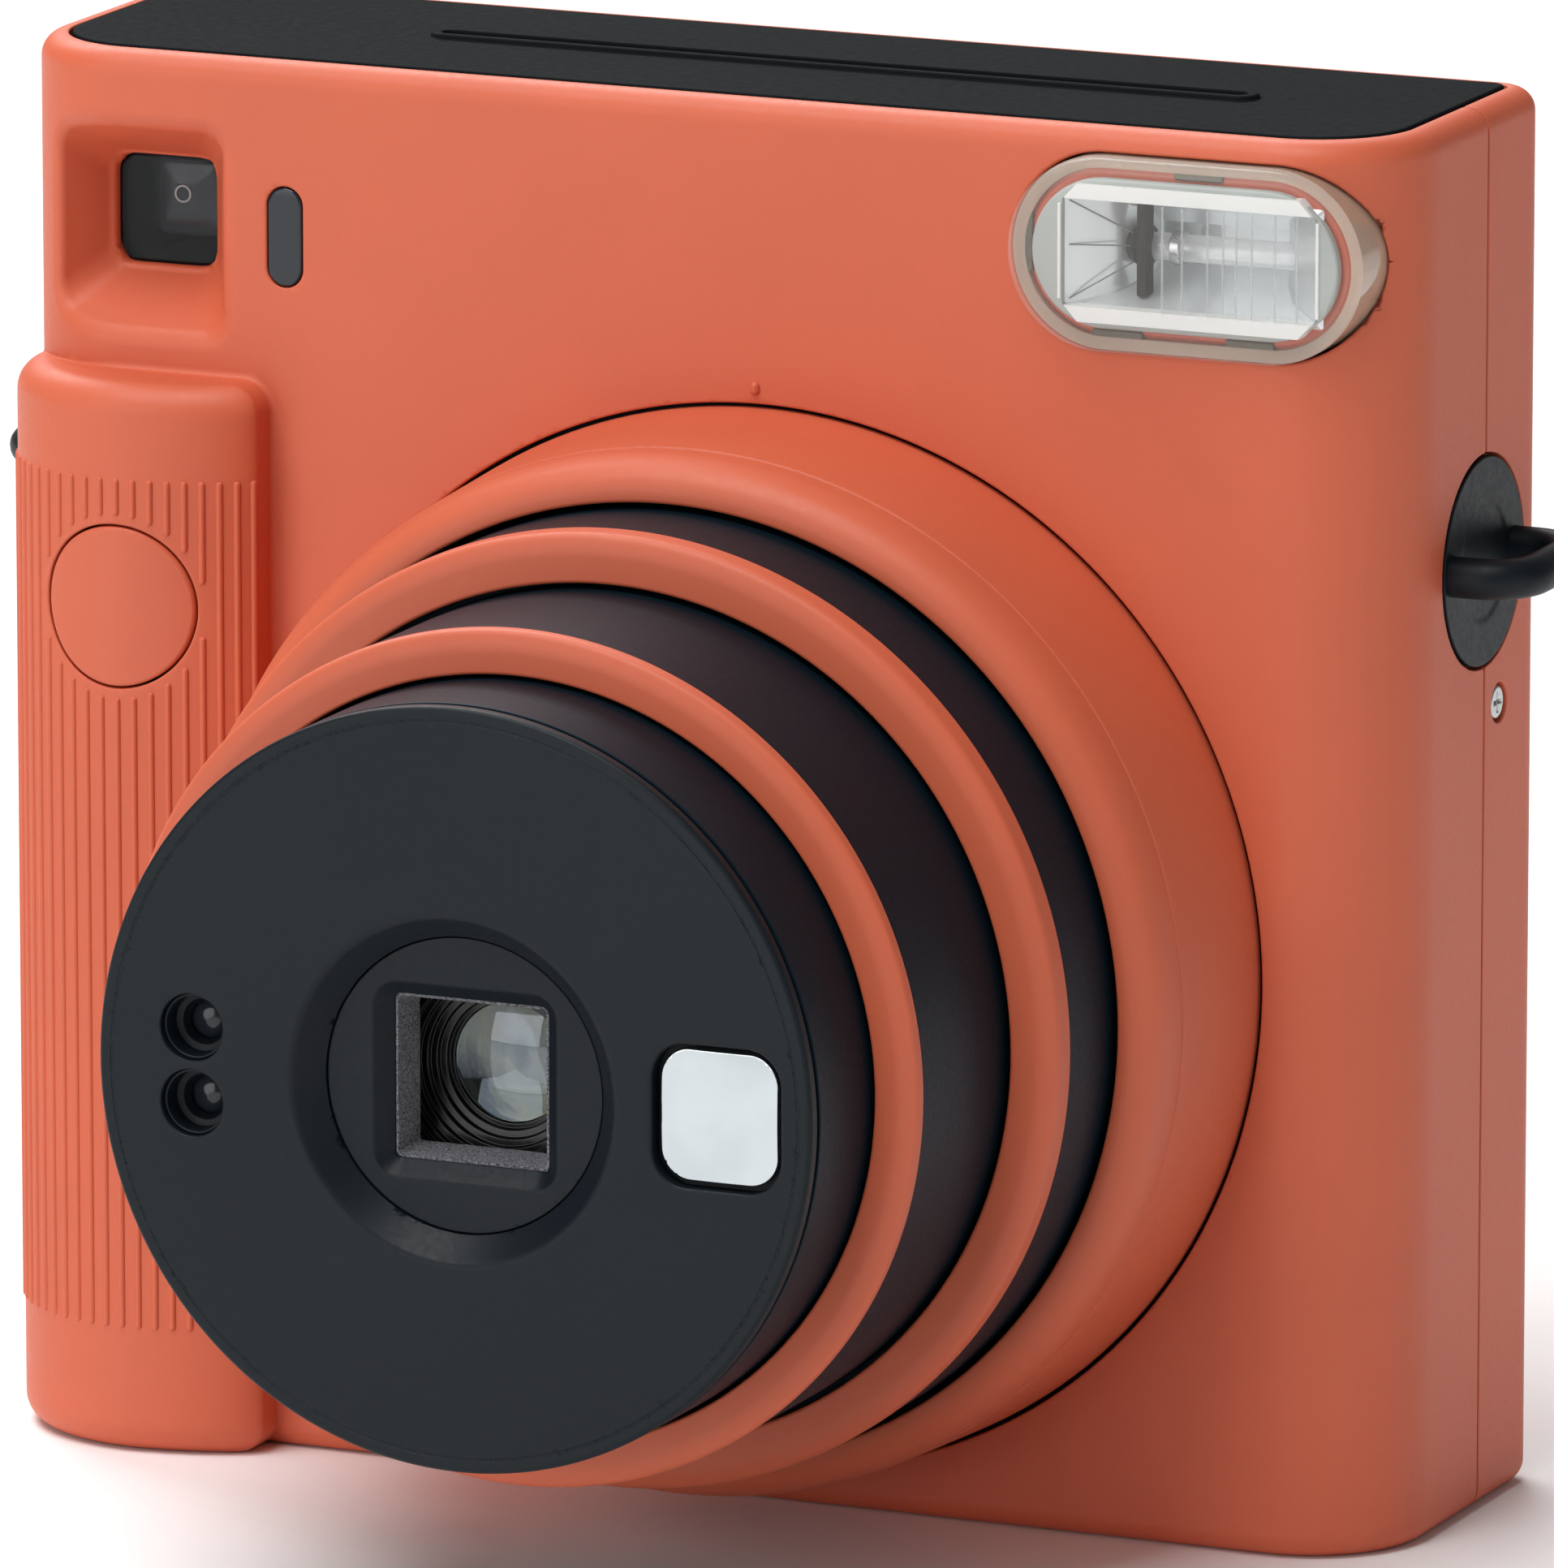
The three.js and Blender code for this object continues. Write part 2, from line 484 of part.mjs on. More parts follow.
function filmDoor() {
  const { left, right, bottom, top, inner, outer, skin } = DOOR;
  const panel = frontalPrism(roundedRect(left, right, bottom, top, 2.7), inner - 1.5, outer, 1.5);
  const trimmed = common(panel, box(left - 1, right + 1, inner, outer + 1, bottom - 1, top + 1));
  const hollow = box(left + 3.5, right - 3.5, inner - 1, outer - skin, bottom + 3.5, top - 3.5);
  const windowHole = frontalPrism(doorWindowOutline(GAP), inner - 1, outer + 1);
  const knuckles = DOOR.opens.map(([low, high]) => join(
    rodZ(DOOR.knuckle, low, high, DOOR.hingeX, DOOR.hingeY, 16),
    box(right - 2, DOOR.hingeX, DOOR.hingeY - 1.1, DOOR.hingeY + 1.1, low, high)));
  return cut(join(cut(trimmed, hollow), ...knuckles), windowHole, hingePinBore());
}

function doorWindowOutline(extra) {
  const { z, width, height, corner } = DOOR_WINDOW;
  return centredRect(LENS_AXIS.x, z, width + extra, height + extra, corner);
}

// A bowed leaf that presses the film pack forward. Its two feet stand on the door's skin.
function filmSpring() {
  const { length, bow, thickness, width, bottom } = FILM_SPRING;
  const base = DOOR.outer - DOOR.skin - GAP;
  const half = length / 2;
  const section = new THREE.Shape();
  section.moveTo(-half, base - thickness);
  section.quadraticCurveTo(0, base - thickness - bow, half, base - thickness);
  section.lineTo(half, base);
  section.quadraticCurveTo(0, base - bow, -half, base);
  const leaf = new THREE.ExtrudeGeometry(section, { depth: width, curveSegments: 8, bevelEnabled: false });
  return leaf.translate(LENS_AXIS.x, 0, bottom);
}

function doorLatch() {
  const knob = frontalPrism(centredRect(LATCH.x, LATCH.z, LATCH.width, LATCH.height, 1.2),
                            BODY.halfDepth + GAP, BODY.halfDepth + 1.8);
  const stem = box(LATCH.x - 1.2, LATCH.x + 1.2, 14.5, BODY.halfDepth + 1, LATCH.z - 2, LATCH.z + 2);
  const foot = box(LATCH.x - 3, LATCH.x + 3, 14, 15.4, LATCH.z - 5, LATCH.z + 5);
  return join(knob, stem, foot);
}

// ---------------------------------------------------------------------------------------------
// Power and electrics
// ---------------------------------------------------------------------------------------------

function batteryDoor() {
  const { front, hingeX, hingeY, knuckle, pin, bottom, top, thickness } = BATTERY_DOOR;
  const slab = box(-70, -BODY.halfWidth + thickness, front, hingeY, bottom, top);
  const barrel = rodZ(knuckle, bottom, top, hingeX, hingeY, 16);
  const trunnions = rodZ(pin, bottom - 1.6, top + 1.6, hingeX, hingeY, 12);
  return join(common(bodyOuter(), slab), barrel, trunnions);
}

// A tray that is open towards the battery door.
function batteryHolder() {
  const { x, y, radius, lowest, length } = BATTERY;
  const { wall, spring, side } = BATTERY_HOLDER;
  const [low, high] = [lowest - spring, lowest + 2 * length + spring + 1];
  const right = x + radius + wall;
  const block = box(x - radius + GAP, right, y - radius - side, y + radius + side, low - wall, high + wall);
  const bay = box(x - radius - 1, right - wall + GAP, y - radius - GAP, y + radius + GAP, low, high);
  return cut(block, bay);
}

function battery() {
  return join(rodZ(BATTERY.radius, 0, BATTERY.length - 1, 0, 0, 18),
              rodZ(3, 0, BATTERY.length - 0.3, 0, 0, 12));
}

function capacitor() {
  const { radius, length, dimple } = CAPACITOR;
  return cut(rodZ(radius, 0, length, 0, 0), rodZ(radius * 0.8, length - dimple, length + 1, 0, 0));
}

function circuitBoard() {
  const { left, thickness, front, back, bottom, top, blocks } = CIRCUIT_BOARD;
  const chips = blocks.map(([z, height, depth]) =>
    box(left - 1.1, left + 0.2, -depth / 2, depth / 2, z, z + height));
  return join(box(left, left + thickness, front, back, bottom, top), ...chips);
}

// ---------------------------------------------------------------------------------------------
// Flash and viewfinder
// ---------------------------------------------------------------------------------------------

function flashWindow() {
  const { x, z, width, height, face, back, wall } = FLASH;
  const outer = frontalPrism(stadium(x, z, width, height), face, back + 1.2, 1.2);
  const inner = frontalPrism(stadium(x, z, width - 2 * wall, height - 2 * wall), face + wall, back + 3);
  return cut(common(outer, box(0, 80, -30, back, 90, 130)), inner);
}

function flashFrame() {
  const { x, z, width, height, face, wall } = FLASH;
  const plate = frontalPrism(stadium(x, z, width - 2 * wall - 2 * GAP, height - 2 * wall - 2 * GAP),
                             face + wall + GAP, REFLECTOR.front - GAP);
  return cut(plate, frontalPrism(centredRect(x, z, REFLECTOR.width - 1, REFLECTOR.height - 1, 1), -25, -10));
}

// A trough that is open at the front, with a hole in each end for the lamp.
function flashReflector() {
  const { width, height, front, back, wall } = REFLECTOR;
  const trough = (inset, y0, y1) => frontalPrism(
    centredRect(FLASH.x, FLASH.z, width - 2 * inset, height - 2 * inset, 2), y0, y1);
  const bowl = cut(trough(0, front, back), trough(wall, front - 1, back - wall));
  return cut(bowl, rodX(1.6, FLASH.x - width, FLASH.x + width, (front + back) / 2, FLASH.z, 16));
}

function flashTube() {
  const middleY = (REFLECTOR.front + REFLECTOR.back) / 2;
  const reach = REFLECTOR.width / 2 + 1.2;
  return rodX(1.3, FLASH.x - reach, FLASH.x + reach, middleY, FLASH.z, 16);
}

function finderTube() {
  const outer = centredRect(FINDER.x, FINDER.z, FINDER.tube, FINDER.tube, 1);
  const inner = centredRect(FINDER.x, FINDER.z, FINDER.tube - 2.4, FINDER.tube - 2.4, 1);
  const front = FINDER.windowY + FINDER.pane + GAP;
  const back = FINDER.tubeBack;
  return cut(frontalPrism(outer, front, back), frontalPrism(inner, front - 1, back + 1));
}

// ---------------------------------------------------------------------------------------------
// Strap lugs and screws
// ---------------------------------------------------------------------------------------------

// A disc let into the side, with a horizontal loop outside it and a boss inside.
function strapLug(side) {
  const outside = BODY.halfWidth + 0.1;
  const disc = rodX(LUG.discRadius, outside - LUG.discThickness, outside, 0, 0, DISC_SEGMENTS);
  const boss = rodX(LUG.bossRadius, outside - LUG.bossDepth, outside - 0.5, 0, 0);
  const start = outside - 0.6;
  const reach = outside + LUG.reach;
  const bend = reach - LUG.corner;
  const leg = LUG.legOffset;
  const turn = leg - LUG.corner;
  const at = (x, y) => new THREE.Vector3(x, y, 0);
  const route = new THREE.CurvePath();
  route.add(new THREE.LineCurve3(at(start, -leg), at(bend, -leg)));
  route.add(new THREE.QuadraticBezierCurve3(at(bend, -leg), at(reach, -leg), at(reach, -turn)));
  route.add(new THREE.LineCurve3(at(reach, -turn), at(reach, turn)));
  route.add(new THREE.QuadraticBezierCurve3(at(reach, turn), at(reach, leg), at(bend, leg)));
  route.add(new THREE.LineCurve3(at(bend, leg), at(start, leg)));
  const section = circle(0, 0, LUG.rod);
  const loop = new THREE.ExtrudeGeometry(section, { steps: 16, extrudePath: route, curveSegments: 4 });
  const right = join(disc, boss, loop);
  return side > 0 ? right : toSolid(toGeometry(right).rotateZ(Math.PI));
}

function screw(side) {
  const outside = BODY.halfWidth - 0.15;
  const head = sideRod(side, SCREW.headRadius, outside - 0.7, outside, 0, 0, 16);
  const shank = sideRod(side, SCREW.shankRadius, outside - SCREW.length + 1, outside, 0, 0, 12);
  const x = side * outside;
  const half = SCREW.slot / 2;
  const slots = [[1, half], [half, 1]].map(([y, z]) => box(x - SCREW.slot, x + SCREW.slot, -y, y, -z, z));
  return cut(join(head, shank), ...slots);
}

// ---------------------------------------------------------------------------------------------
// Telescoping lens. Every piece is turned about the lens axis.
// ---------------------------------------------------------------------------------------------

function lensDial() {
  const { baseRadius, frontRadius, innerRadius, mouthRadius, back, shoulder, face } = DIAL;
  const lip = face + 2.3;
  return turned([
    [innerRadius, back], [baseRadius, back], [baseRadius, back - 1], [frontRadius, shoulder],
    [frontRadius - 0.15, shoulder - 1.9], [frontRadius - 0.7, shoulder - 3.6],
    [frontRadius - 1.6, shoulder - 4.6], [frontRadius - 2.4, face], [mouthRadius, face],
    [mouthRadius, lip], [innerRadius, lip],
  ]);
}

function lensBase() {
  return turned([
    [GUIDE.inner, GUIDE.front], [GUIDE.outer, GUIDE.front], [GUIDE.outer, GUIDE.back - 1.4],
    [GUIDE.flange, GUIDE.back - 1.4], [GUIDE.flange, GUIDE.back], [GUIDE.inner, GUIDE.back],
  ]);
}

function barrelCap({ capOuter, capInner, capFace, capBack }) {
  return turned([
    [capInner, capFace], [capOuter - 0.6, capFace], [capOuter, capFace + 0.6], [capOuter, capBack],
    [capInner, capBack],
  ]);
}

function middleBarrel() {
  return turned([
    [MIDDLE.inner, MIDDLE.front], [MIDDLE.outer, MIDDLE.front], [MIDDLE.outer, MIDDLE.back - 1.1],
    [MIDDLE.stopRadius, MIDDLE.back - 1.1], [MIDDLE.stopRadius, MIDDLE.back], [MIDDLE.inner, MIDDLE.back],
  ]);
}

function frontDisc() {
  const { outer, inner, face, rim, discBack } = FRONT;
  const { mouthRadius, floorRadius, depth } = LENS_RECESS;
  const disc = turned([
    [floorRadius, face + depth], [mouthRadius, face], [outer - 0.5, face], [outer, face + 0.5],
    [outer, face + rim], [inner - GAP, face + rim], [inner - GAP, discBack], [floorRadius, discBack],
  ]);
  const sensorHoles = [1, -1].map((up) =>
    rodY(SENSOR.holeRadius, face - 1, discBack + 1, -EYE_OFFSET, up * SENSOR.offsetZ));
  const mirrorSeat = frontalPrism(
    centredRect(EYE_OFFSET, 0, MIRROR.width + 2 * MIRROR.clearance, MIRROR.height + 2 * MIRROR.clearance,
                MIRROR.corner + MIRROR.clearance), face - 1, face + MIRROR.depth);
  return cut(disc, ...sensorHoles, mirrorSeat);
}

function lensHood() {
  const half = HOOD.opening / 2;
  return cut(rodY(HOOD.radius, HOOD.front, HOOD.back, 0, 0, DISC_SEGMENTS),
             box(-half, half, HOOD.front - 1, HOOD.back + 1, -half, half));
}

// A lens with a bulging front face and a flat back face.
function lensElement({ radius, front, back, bulge }) {
  const profile = [[0, front - bulge], [radius * 0.5, front - bulge * 0.75], [radius, front],
                   [radius, back], [0, back]];
  return turned(profile, 16);
}

// A thin blade that hangs from its pivot on the left and covers half of the opening.
function shutterBlade(y) {
  const outline = new THREE.Shape();
  outline.moveTo(-16.5, -2);
  outline.lineTo(-9, -1);
  outline.absarc(-1, 0, 8.2, Math.PI, 0, true);
  outline.lineTo(7, -1.2);
  outline.lineTo(-9, -3.4);
  outline.lineTo(-16.5, -3);
  return frontalPrism(outline, y, y + 0.5);
}

// ---------------------------------------------------------------------------------------------
// Assembly
// ---------------------------------------------------------------------------------------------

place('front_cover', frontCover(), 'orange');
place('back_cover', backCover(), 'orange');
place('top_plate', topPlate(), 'black');
place('chassis', chassis(), 'black');
place('dark_chamber', darkChamber(), 'black');

const finderPane = centredRect(FINDER.x, FINDER.z, FINDER.window, FINDER.window, 1.5);
place('viewfinder_window', frontalPrism(finderPane, FINDER.windowY, FINDER.windowY + FINDER.pane), 'tinted');
place('viewfinder_tube', finderTube(), 'black');
place('viewfinder_eyepiece', join(
  rodY(EYEPIECE.radius, EYEPIECE.front + GAP, EYEPIECE.back, FINDER.x, FINDER.z, 16),
  rodY(EYEPIECE.seatRadius, EYEPIECE.front, EYEPIECE.back - 1, FINDER.x, FINDER.z, 16)), 'glass');
const pill = stadium(SENSOR_PILL.x, SENSOR_PILL.z, SENSOR_PILL.width - GAP, SENSOR_PILL.height - GAP);
place('light_sensor_window', frontalPrism(pill, -BODY.halfDepth, -15.2), 'tinted');

place('flash_window', flashWindow(), 'clear');
place('flash_frame', flashFrame(), 'white');
place('flash_reflector', flashReflector(), 'silver');
place('flash_tube', flashTube(), 'glass');
place('flash_capacitor', capacitor(), 'black', camera, CAPACITOR.x, CAPACITOR.y, CAPACITOR.z);
place('circuit_board', circuitBoard(), 'board');

const upperCell = BATTERY.lowest + BATTERY.length + GAP;
const contactGap = CONTACT.thickness + GAP;
place('battery_holder', batteryHolder(), 'black');
for (const [name, z] of [['battery_lower', BATTERY.lowest], ['battery_upper', upperCell]]) {
  place(name, battery(), 'silver', camera, BATTERY.x, BATTERY.y, z);
}
for (const [name, z] of [['battery_contact_lower', BATTERY.lowest - contactGap],
                         ['battery_contact_upper', upperCell + BATTERY.length + GAP]]) {
  place(name, rodZ(CONTACT.radius, 0, CONTACT.thickness, 0, 0), 'brass', camera, BATTERY.x, BATTERY.y, z);
}
place('battery_door', batteryDoor(), 'orange');

for (const [name, side] of [['right', 1], ['left', -1]]) {
  place(`strap_lug_${name}`, strapLug(side), 'black', camera, 0, LUG.y, LUG.z);
  place(`cover_screw_${name}`, screw(side), 'steel', camera, 0, SCREW.y, SCREW.z);
}

place('film_door', filmDoor(), 'orange');
place('film_window', frontalPrism(doorWindowOutline(-GAP), DOOR_WINDOW.front, DOOR_WINDOW.back), 'tinted');
place('film_spring', filmSpring(), 'steel');
place('door_hinge_pin', rodZ(DOOR.pin, DOOR.hingeBottom + 0.2, DOOR.hingeTop - 0.2, DOOR.hingeX,
                             DOOR.hingeY, 12), 'steel');
place('door_latch', doorLatch(), 'black');

const gripSolid = uprightPrism(gripPlan(0), 0, GRIP.top, GRIP.edge, GRIP_STEPS);
const buttonPillar = rodY(BUTTON.radius, -40, BUTTON.innerFace, BUTTON.x, BUTTON.z, DISC_SEGMENTS);
const buttonStem = rodY(BUTTON.stemRadius, BUTTON.innerFace - 1, BUTTON.stemEnd, BUTTON.x, BUTTON.z);
place('shutter_button', join(common(gripSolid, buttonPillar), buttonStem), 'orange');
const switchFront = BUTTON.stemEnd + SHUTTER_SWITCH.clearance;
place('shutter_switch', frontalPrism(
  centredRect(BUTTON.x, BUTTON.z, SHUTTER_SWITCH.size, SHUTTER_SWITCH.size, 0.5),
  switchFront, switchFront + SHUTTER_SWITCH.depth), 'black');

const [frontRollerY, rearRollerY] = rollerCentres();
const toothStep = (teeth) => Math.PI * 2 / teeth;
const driveRadius = GEARS.module * GEARS.driveTeeth / 2;
const driveZ = ROLLERS.z - driveRadius - ROLLERS.pitchRadius;
const pinionZ = driveZ - driveRadius - GEARS.module * GEARS.pinionTeeth / 2;
// Each gear has a tooth where its partner has a gap.
place('front_roller', roller(toothStep(GEARS.rollerTeeth) / 2), 'steel', camera, 0, frontRollerY, ROLLERS.z);
place('rear_roller', roller(0), 'steel', camera, 0, rearRollerY, ROLLERS.z);
place('drive_gear', join(gear(GEARS.driveTeeth, Math.PI / 2),
                         rodX(1.2, GEARS.left - 1.2, GEARS.right, 0, 0, 12)),
      'white', camera, 0, rearRollerY, driveZ);
place('motor_pinion', join(gear(GEARS.pinionTeeth, Math.PI / 2 + toothStep(GEARS.pinionTeeth) / 2),
                           rodX(0.8, MOTOR.right + 0.4, GEARS.right, 0, 0, 12)),
      'brass', camera, 0, rearRollerY, pinionZ);
place('motor', rodX(MOTOR.radius, MOTOR.left, MOTOR.right, rearRollerY, pinionZ, 18), 'steel');
place('film_claw', join(box(CLAW.left, CLAW.right, 0, CLAW.back, CLAW.bottom, CLAW.top),
                        box(CLAW.left, CLAW.left + CLAW.hook, 0, CLAW.hook, CLAW.bottom, CLAW.bottom + 3)),
      'steel');

const counterPane = centredRect(COUNTER.x, COUNTER.windowZ, COUNTER.windowWidth - GAP,
                                COUNTER.windowHeight - GAP, COUNTER.corner - GAP);
place('counter_window', frontalPrism(counterPane, 16.2, 18.1), 'clear');
place('counter_dial', join(rodY(COUNTER.radius, 13.4, 14.6, 0, 0, 24), rodY(1.2, 11.4, 14, 0, 0, 12)),
      'white', camera, COUNTER.x, 0, COUNTER.z);

place('lens_base', lensBase(), 'black', lens);
place('cam_ring', sleeve(CAM_RING.inner, CAM_RING.outer, CAM_RING.front, CAM_RING.back), 'black', lens);
place('lens_dial', lensDial(), 'orange', lens);
place('outer_barrel', sleeve(OUTER.inner, OUTER.outer, OUTER.front, OUTER.back), 'barrel', lens);
place('outer_barrel_cap', barrelCap(OUTER), 'orange', lens);
place('middle_barrel', middleBarrel(), 'barrel', lens);
place('middle_barrel_cap', barrelCap(MIDDLE), 'orange', lens);
place('focus_carrier', sleeve(CARRIER.inner, CARRIER.outer, CARRIER.front, CARRIER.back), 'black', lens);
place('front_barrel', sleeve(FRONT.inner, FRONT.outer, FRONT.face + FRONT.rim + GAP, FRONT.back),
      'barrel', lens);
place('front_disc', frontDisc(), 'black', lens);
place('lens_hood', lensHood(), 'black', lens);
place('lens_cell', sleeve(CELL.inner, CELL.outer, CELL.front, CELL.back, DISC_SEGMENTS), 'black', lens);
place('front_lens', lensElement(FRONT_LENS), 'glass', lens);
place('rear_lens', lensElement(REAR_LENS), 'glass', lens);
place('selfie_mirror', frontalPrism(
  centredRect(0, 0, MIRROR.width, MIRROR.height, MIRROR.corner), 0, 0.9), 'mirror', lens,
      EYE_OFFSET, FRONT.face + 0.4, 0);
for (const [name, up] of [['exposure_sensor_upper', 1], ['exposure_sensor_lower', -1]]) {
  place(name, join(rodY(SENSOR.radius, 0, 2, 0, 0, 16), rodY(SENSOR.noseRadius, -0.8, 1, 0, 0, 16)),
        'tinted', lens, -EYE_OFFSET, FRONT.face + 1.6, up * SENSOR.offsetZ);
}
place('shutter_blade_upper', shutterBlade(-59), 'black', lens);
place('shutter_blade_lower', toSolid(toGeometry(toSolid(shutterBlade(-58.2))).rotateY(Math.PI)),
      'black', lens);

export default camera;
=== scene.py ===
"""Looks of an instant camera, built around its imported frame.

Lengths are in millimetres up to add_mesh(), and in metres for the camera and the lights.
"""
import math

import bpy
import numpy as np
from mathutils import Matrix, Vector


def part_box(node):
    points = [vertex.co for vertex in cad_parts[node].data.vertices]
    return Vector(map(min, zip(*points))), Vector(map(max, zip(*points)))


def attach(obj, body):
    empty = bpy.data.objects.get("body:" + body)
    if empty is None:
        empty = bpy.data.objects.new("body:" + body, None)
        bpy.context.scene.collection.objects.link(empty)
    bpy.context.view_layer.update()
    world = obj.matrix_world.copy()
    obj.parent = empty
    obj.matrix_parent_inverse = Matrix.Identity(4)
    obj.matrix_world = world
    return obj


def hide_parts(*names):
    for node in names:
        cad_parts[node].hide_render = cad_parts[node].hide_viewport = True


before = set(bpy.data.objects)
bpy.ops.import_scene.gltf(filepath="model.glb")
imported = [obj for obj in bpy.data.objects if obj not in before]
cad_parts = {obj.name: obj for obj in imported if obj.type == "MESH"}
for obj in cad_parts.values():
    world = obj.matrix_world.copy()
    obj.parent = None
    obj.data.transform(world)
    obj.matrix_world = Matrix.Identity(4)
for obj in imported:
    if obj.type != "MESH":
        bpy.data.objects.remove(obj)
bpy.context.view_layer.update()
MM = 0.001

# ---- Driving dimensions, from the frame's own nodes where it has them


def box_mm(node):
    """Lowest and highest corner of a frame node, in millimetres."""
    low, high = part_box(node)
    return np.array(low) / MM, np.array(high) / MM


def centre_of(node):
    low, high = box_mm(node)
    return (low + high) / 2


HALF_WIDTH = 64.65
HALF_DEPTH = 18.0
HEIGHT = 122.2
WALL = 2.2
PARTING_Y = 4.0
GAP = 0.3
AXIS_X, _, AXIS_Z = centre_of("lens_dial")
FRONT_Y = box_mm("front_disc")[0][1]
MIRROR_Y = box_mm("selfie_mirror")[0][1]
BUTTON_X, _, BUTTON_Z = centre_of("shutter_button")
BUTTON_RADIUS = 7.0
CEILING_Z = 118.6                   # underside of the covers' top wall
DIAL_OPENING = 46.45
DISC_RADIUS = 32.35
EYE_OFFSET = 23.8                   # sensors and mirror, each side of the lens axis
FLASH_X, _, FLASH_Z = centre_of("flash_window")
FLASH_FACE = box_mm("flash_window")[0][1]
FLASH_WIDTH, FLASH_HEIGHT = 31.8, 16.6
LAMP_X = FLASH_X + 0.4              # middle of what is behind the flash window
FINDER_X, _, FINDER_Z = centre_of("viewfinder_window")
FINDER_Y = box_mm("viewfinder_window")[0][1]
PILL_X, _, PILL_Z = centre_of("light_sensor_window")
GRIP_TOP = 94.5
GRIP_PEAK_X = -50.4
GRIP_TIP_Y = -25.2
GRIP_SIDE_Y = -12.0                 # where the grip's curve leaves the left side
GRIP_RIGHT_X = -38.8
GRIP_WALL_END = -20.8               # where the wall on its right turns into the slope
GRIP_POWER = 1.6                    # squareness of that slope
RIB_PITCH = 1.53
RIB_LOW, RIB_HIGH = 11.2, 86.4
SENSOR_RISE = 3.2                   # of each sensor above or below the lens axis
LUG_Y, LUG_Z = 3.7, 83.3
LUG_LEG = 7.1                       # half the distance between the loop's legs
SCREW_Y, SCREW_Z = 7.6, 70.3
HINGE_X, HINGE_Y = 59.6, 18.8
HINGE_OPENS = [(24.4, 45.6), (64.4, 85.6)]          # heights of the film door's knuckles
COUNTER_X, COUNTER_Z = -51.0, 26.0
LATCH_X, LATCH_Z = -42.5, 58.0
DOOR_WINDOW_Z = 70
SIDES = (("right", 1), ("left", -1))
LEVELS = (("upper", 1), ("lower", -1))

# ---- Materials


class Finish:
    """A Principled material with noise-driven grain, and the slot that its pieces belong to."""

    def __init__(self, name, colour, roughness, metallic=0.0):
        self.material = bpy.data.materials.new(name)
        self.material.use_nodes = True
        self.nodes = self.material.node_tree.nodes
        self.shader = self.nodes["Principled BSDF"]
        self.colour = colour
        self.slot = None
        self.feed(self.shader, {"Base Color": (*colour, 1), "Roughness": roughness, "Metallic": metallic})
        self.place = self.nodes.new("ShaderNodeTexCoord").outputs["Object"]

    def feed(self, node, inputs):
        """Links each input to a socket, or sets it to a value."""
        for name, value in inputs.items():
            if isinstance(value, bpy.types.NodeSocket):
                self.material.node_tree.links.new(value, node.inputs[name])
            else:
                node.inputs[name].default_value = value
        return node

    def node(self, kind, inputs):
        return self.feed(self.nodes.new("ShaderNode" + kind), inputs)

    def set(self, socket, value):
        self.feed(self.shader, {socket: value})
        return self

    def noise(self, size_mm, detail=2.0, stretch=(1, 1, 1)):
        """A noise value whose features are about size_mm across."""
        spread = self.node("Mapping", {"Vector": self.place, "Scale": stretch})
        noise = self.node("TexNoise", {"Vector": spread.outputs["Vector"], "Scale": 1 / (size_mm * MM),
                                       "Detail": detail})
        return noise.outputs["Fac"]

    def remap(self, value, low, high):
        return self.node("MapRange", {"Value": value, "From Min": 0.3, "From Max": 0.7, "To Min": low,
                                      "To Max": high}).outputs["Result"]

    def vary_colour(self, value, share, tint=(1, 1, 1)):
        """Base colour drifts by this share on each side of the plain colour."""
        low = [c * (1 - share) for c in self.colour]
        high = [min(1, c * (1 + share) * t) for c, t in zip(self.colour, tint)]
        mix = self.nodes.new("ShaderNodeMix")
        mix.data_type = "RGBA"
        self.feed(mix, {"Factor": self.remap(value, 0, 1), "A": (*low, 1), "B": (*high, 1)})
        return self.set("Base Color", mix.outputs["Result"])

    def vary_roughness(self, value, low, high):
        return self.set("Roughness", self.remap(value, low, high))

    def bump(self, value, height_mm, strength=1.0):
        node = self.node("Bump", {"Height": value, "Distance": height_mm * MM, "Strength": strength})
        return self.set("Normal", node.outputs["Normal"])


def moulded(name, colour, roughness, grain_mm, grain_height, specular=0.5, drift=0.03):
    """Moulded plastic: spark-eroded grain, slow drift of colour and sheen."""
    finish = Finish(name, colour, roughness)
    finish.set("Specular IOR Level", specular)
    finish.vary_colour(finish.noise(18, 3), drift)
    finish.vary_roughness(finish.noise(grain_mm * 4, 3), roughness - 0.04, roughness + 0.05)
    return finish.bump(finish.noise(grain_mm, 2), grain_height, 0.6)


def metal(name, colour, roughness, stretch=(1, 1, 1)):
    """Drawn metal: long fine scratches along one axis."""
    finish = Finish(name, colour, roughness, 1.0)
    finish.vary_colour(finish.noise(6, 3), 0.06)
    finish.vary_roughness(finish.noise(0.4, 3, stretch), roughness * 0.7, roughness * 1.4)
    return finish.bump(finish.noise(0.25, 2, stretch), 0.01, 0.4)


def clear(name, colour, alpha, roughness=0.04, edge=0.5):
    """Thin clear plastic: mostly see-through, and denser where it is seen edge on."""
    finish = Finish(name, colour, roughness)
    facing = finish.node("LayerWeight", {"Blend": 0.35}).outputs["Facing"]
    ramp = finish.node("MapRange", {"Value": facing, "To Min": alpha, "To Max": min(1.0, alpha + edge)})
    finish.set("Alpha", ramp.outputs["Result"]).set("Coat Weight", 1.0).set("Coat Roughness", 0.02)
    finish.vary_colour(finish.noise(9, 2), 0.05)
    finish.vary_roughness(finish.noise(5, 2), roughness * 0.6, roughness * 1.6)
    return finish.bump(finish.noise(7, 1), 0.01, 0.15)


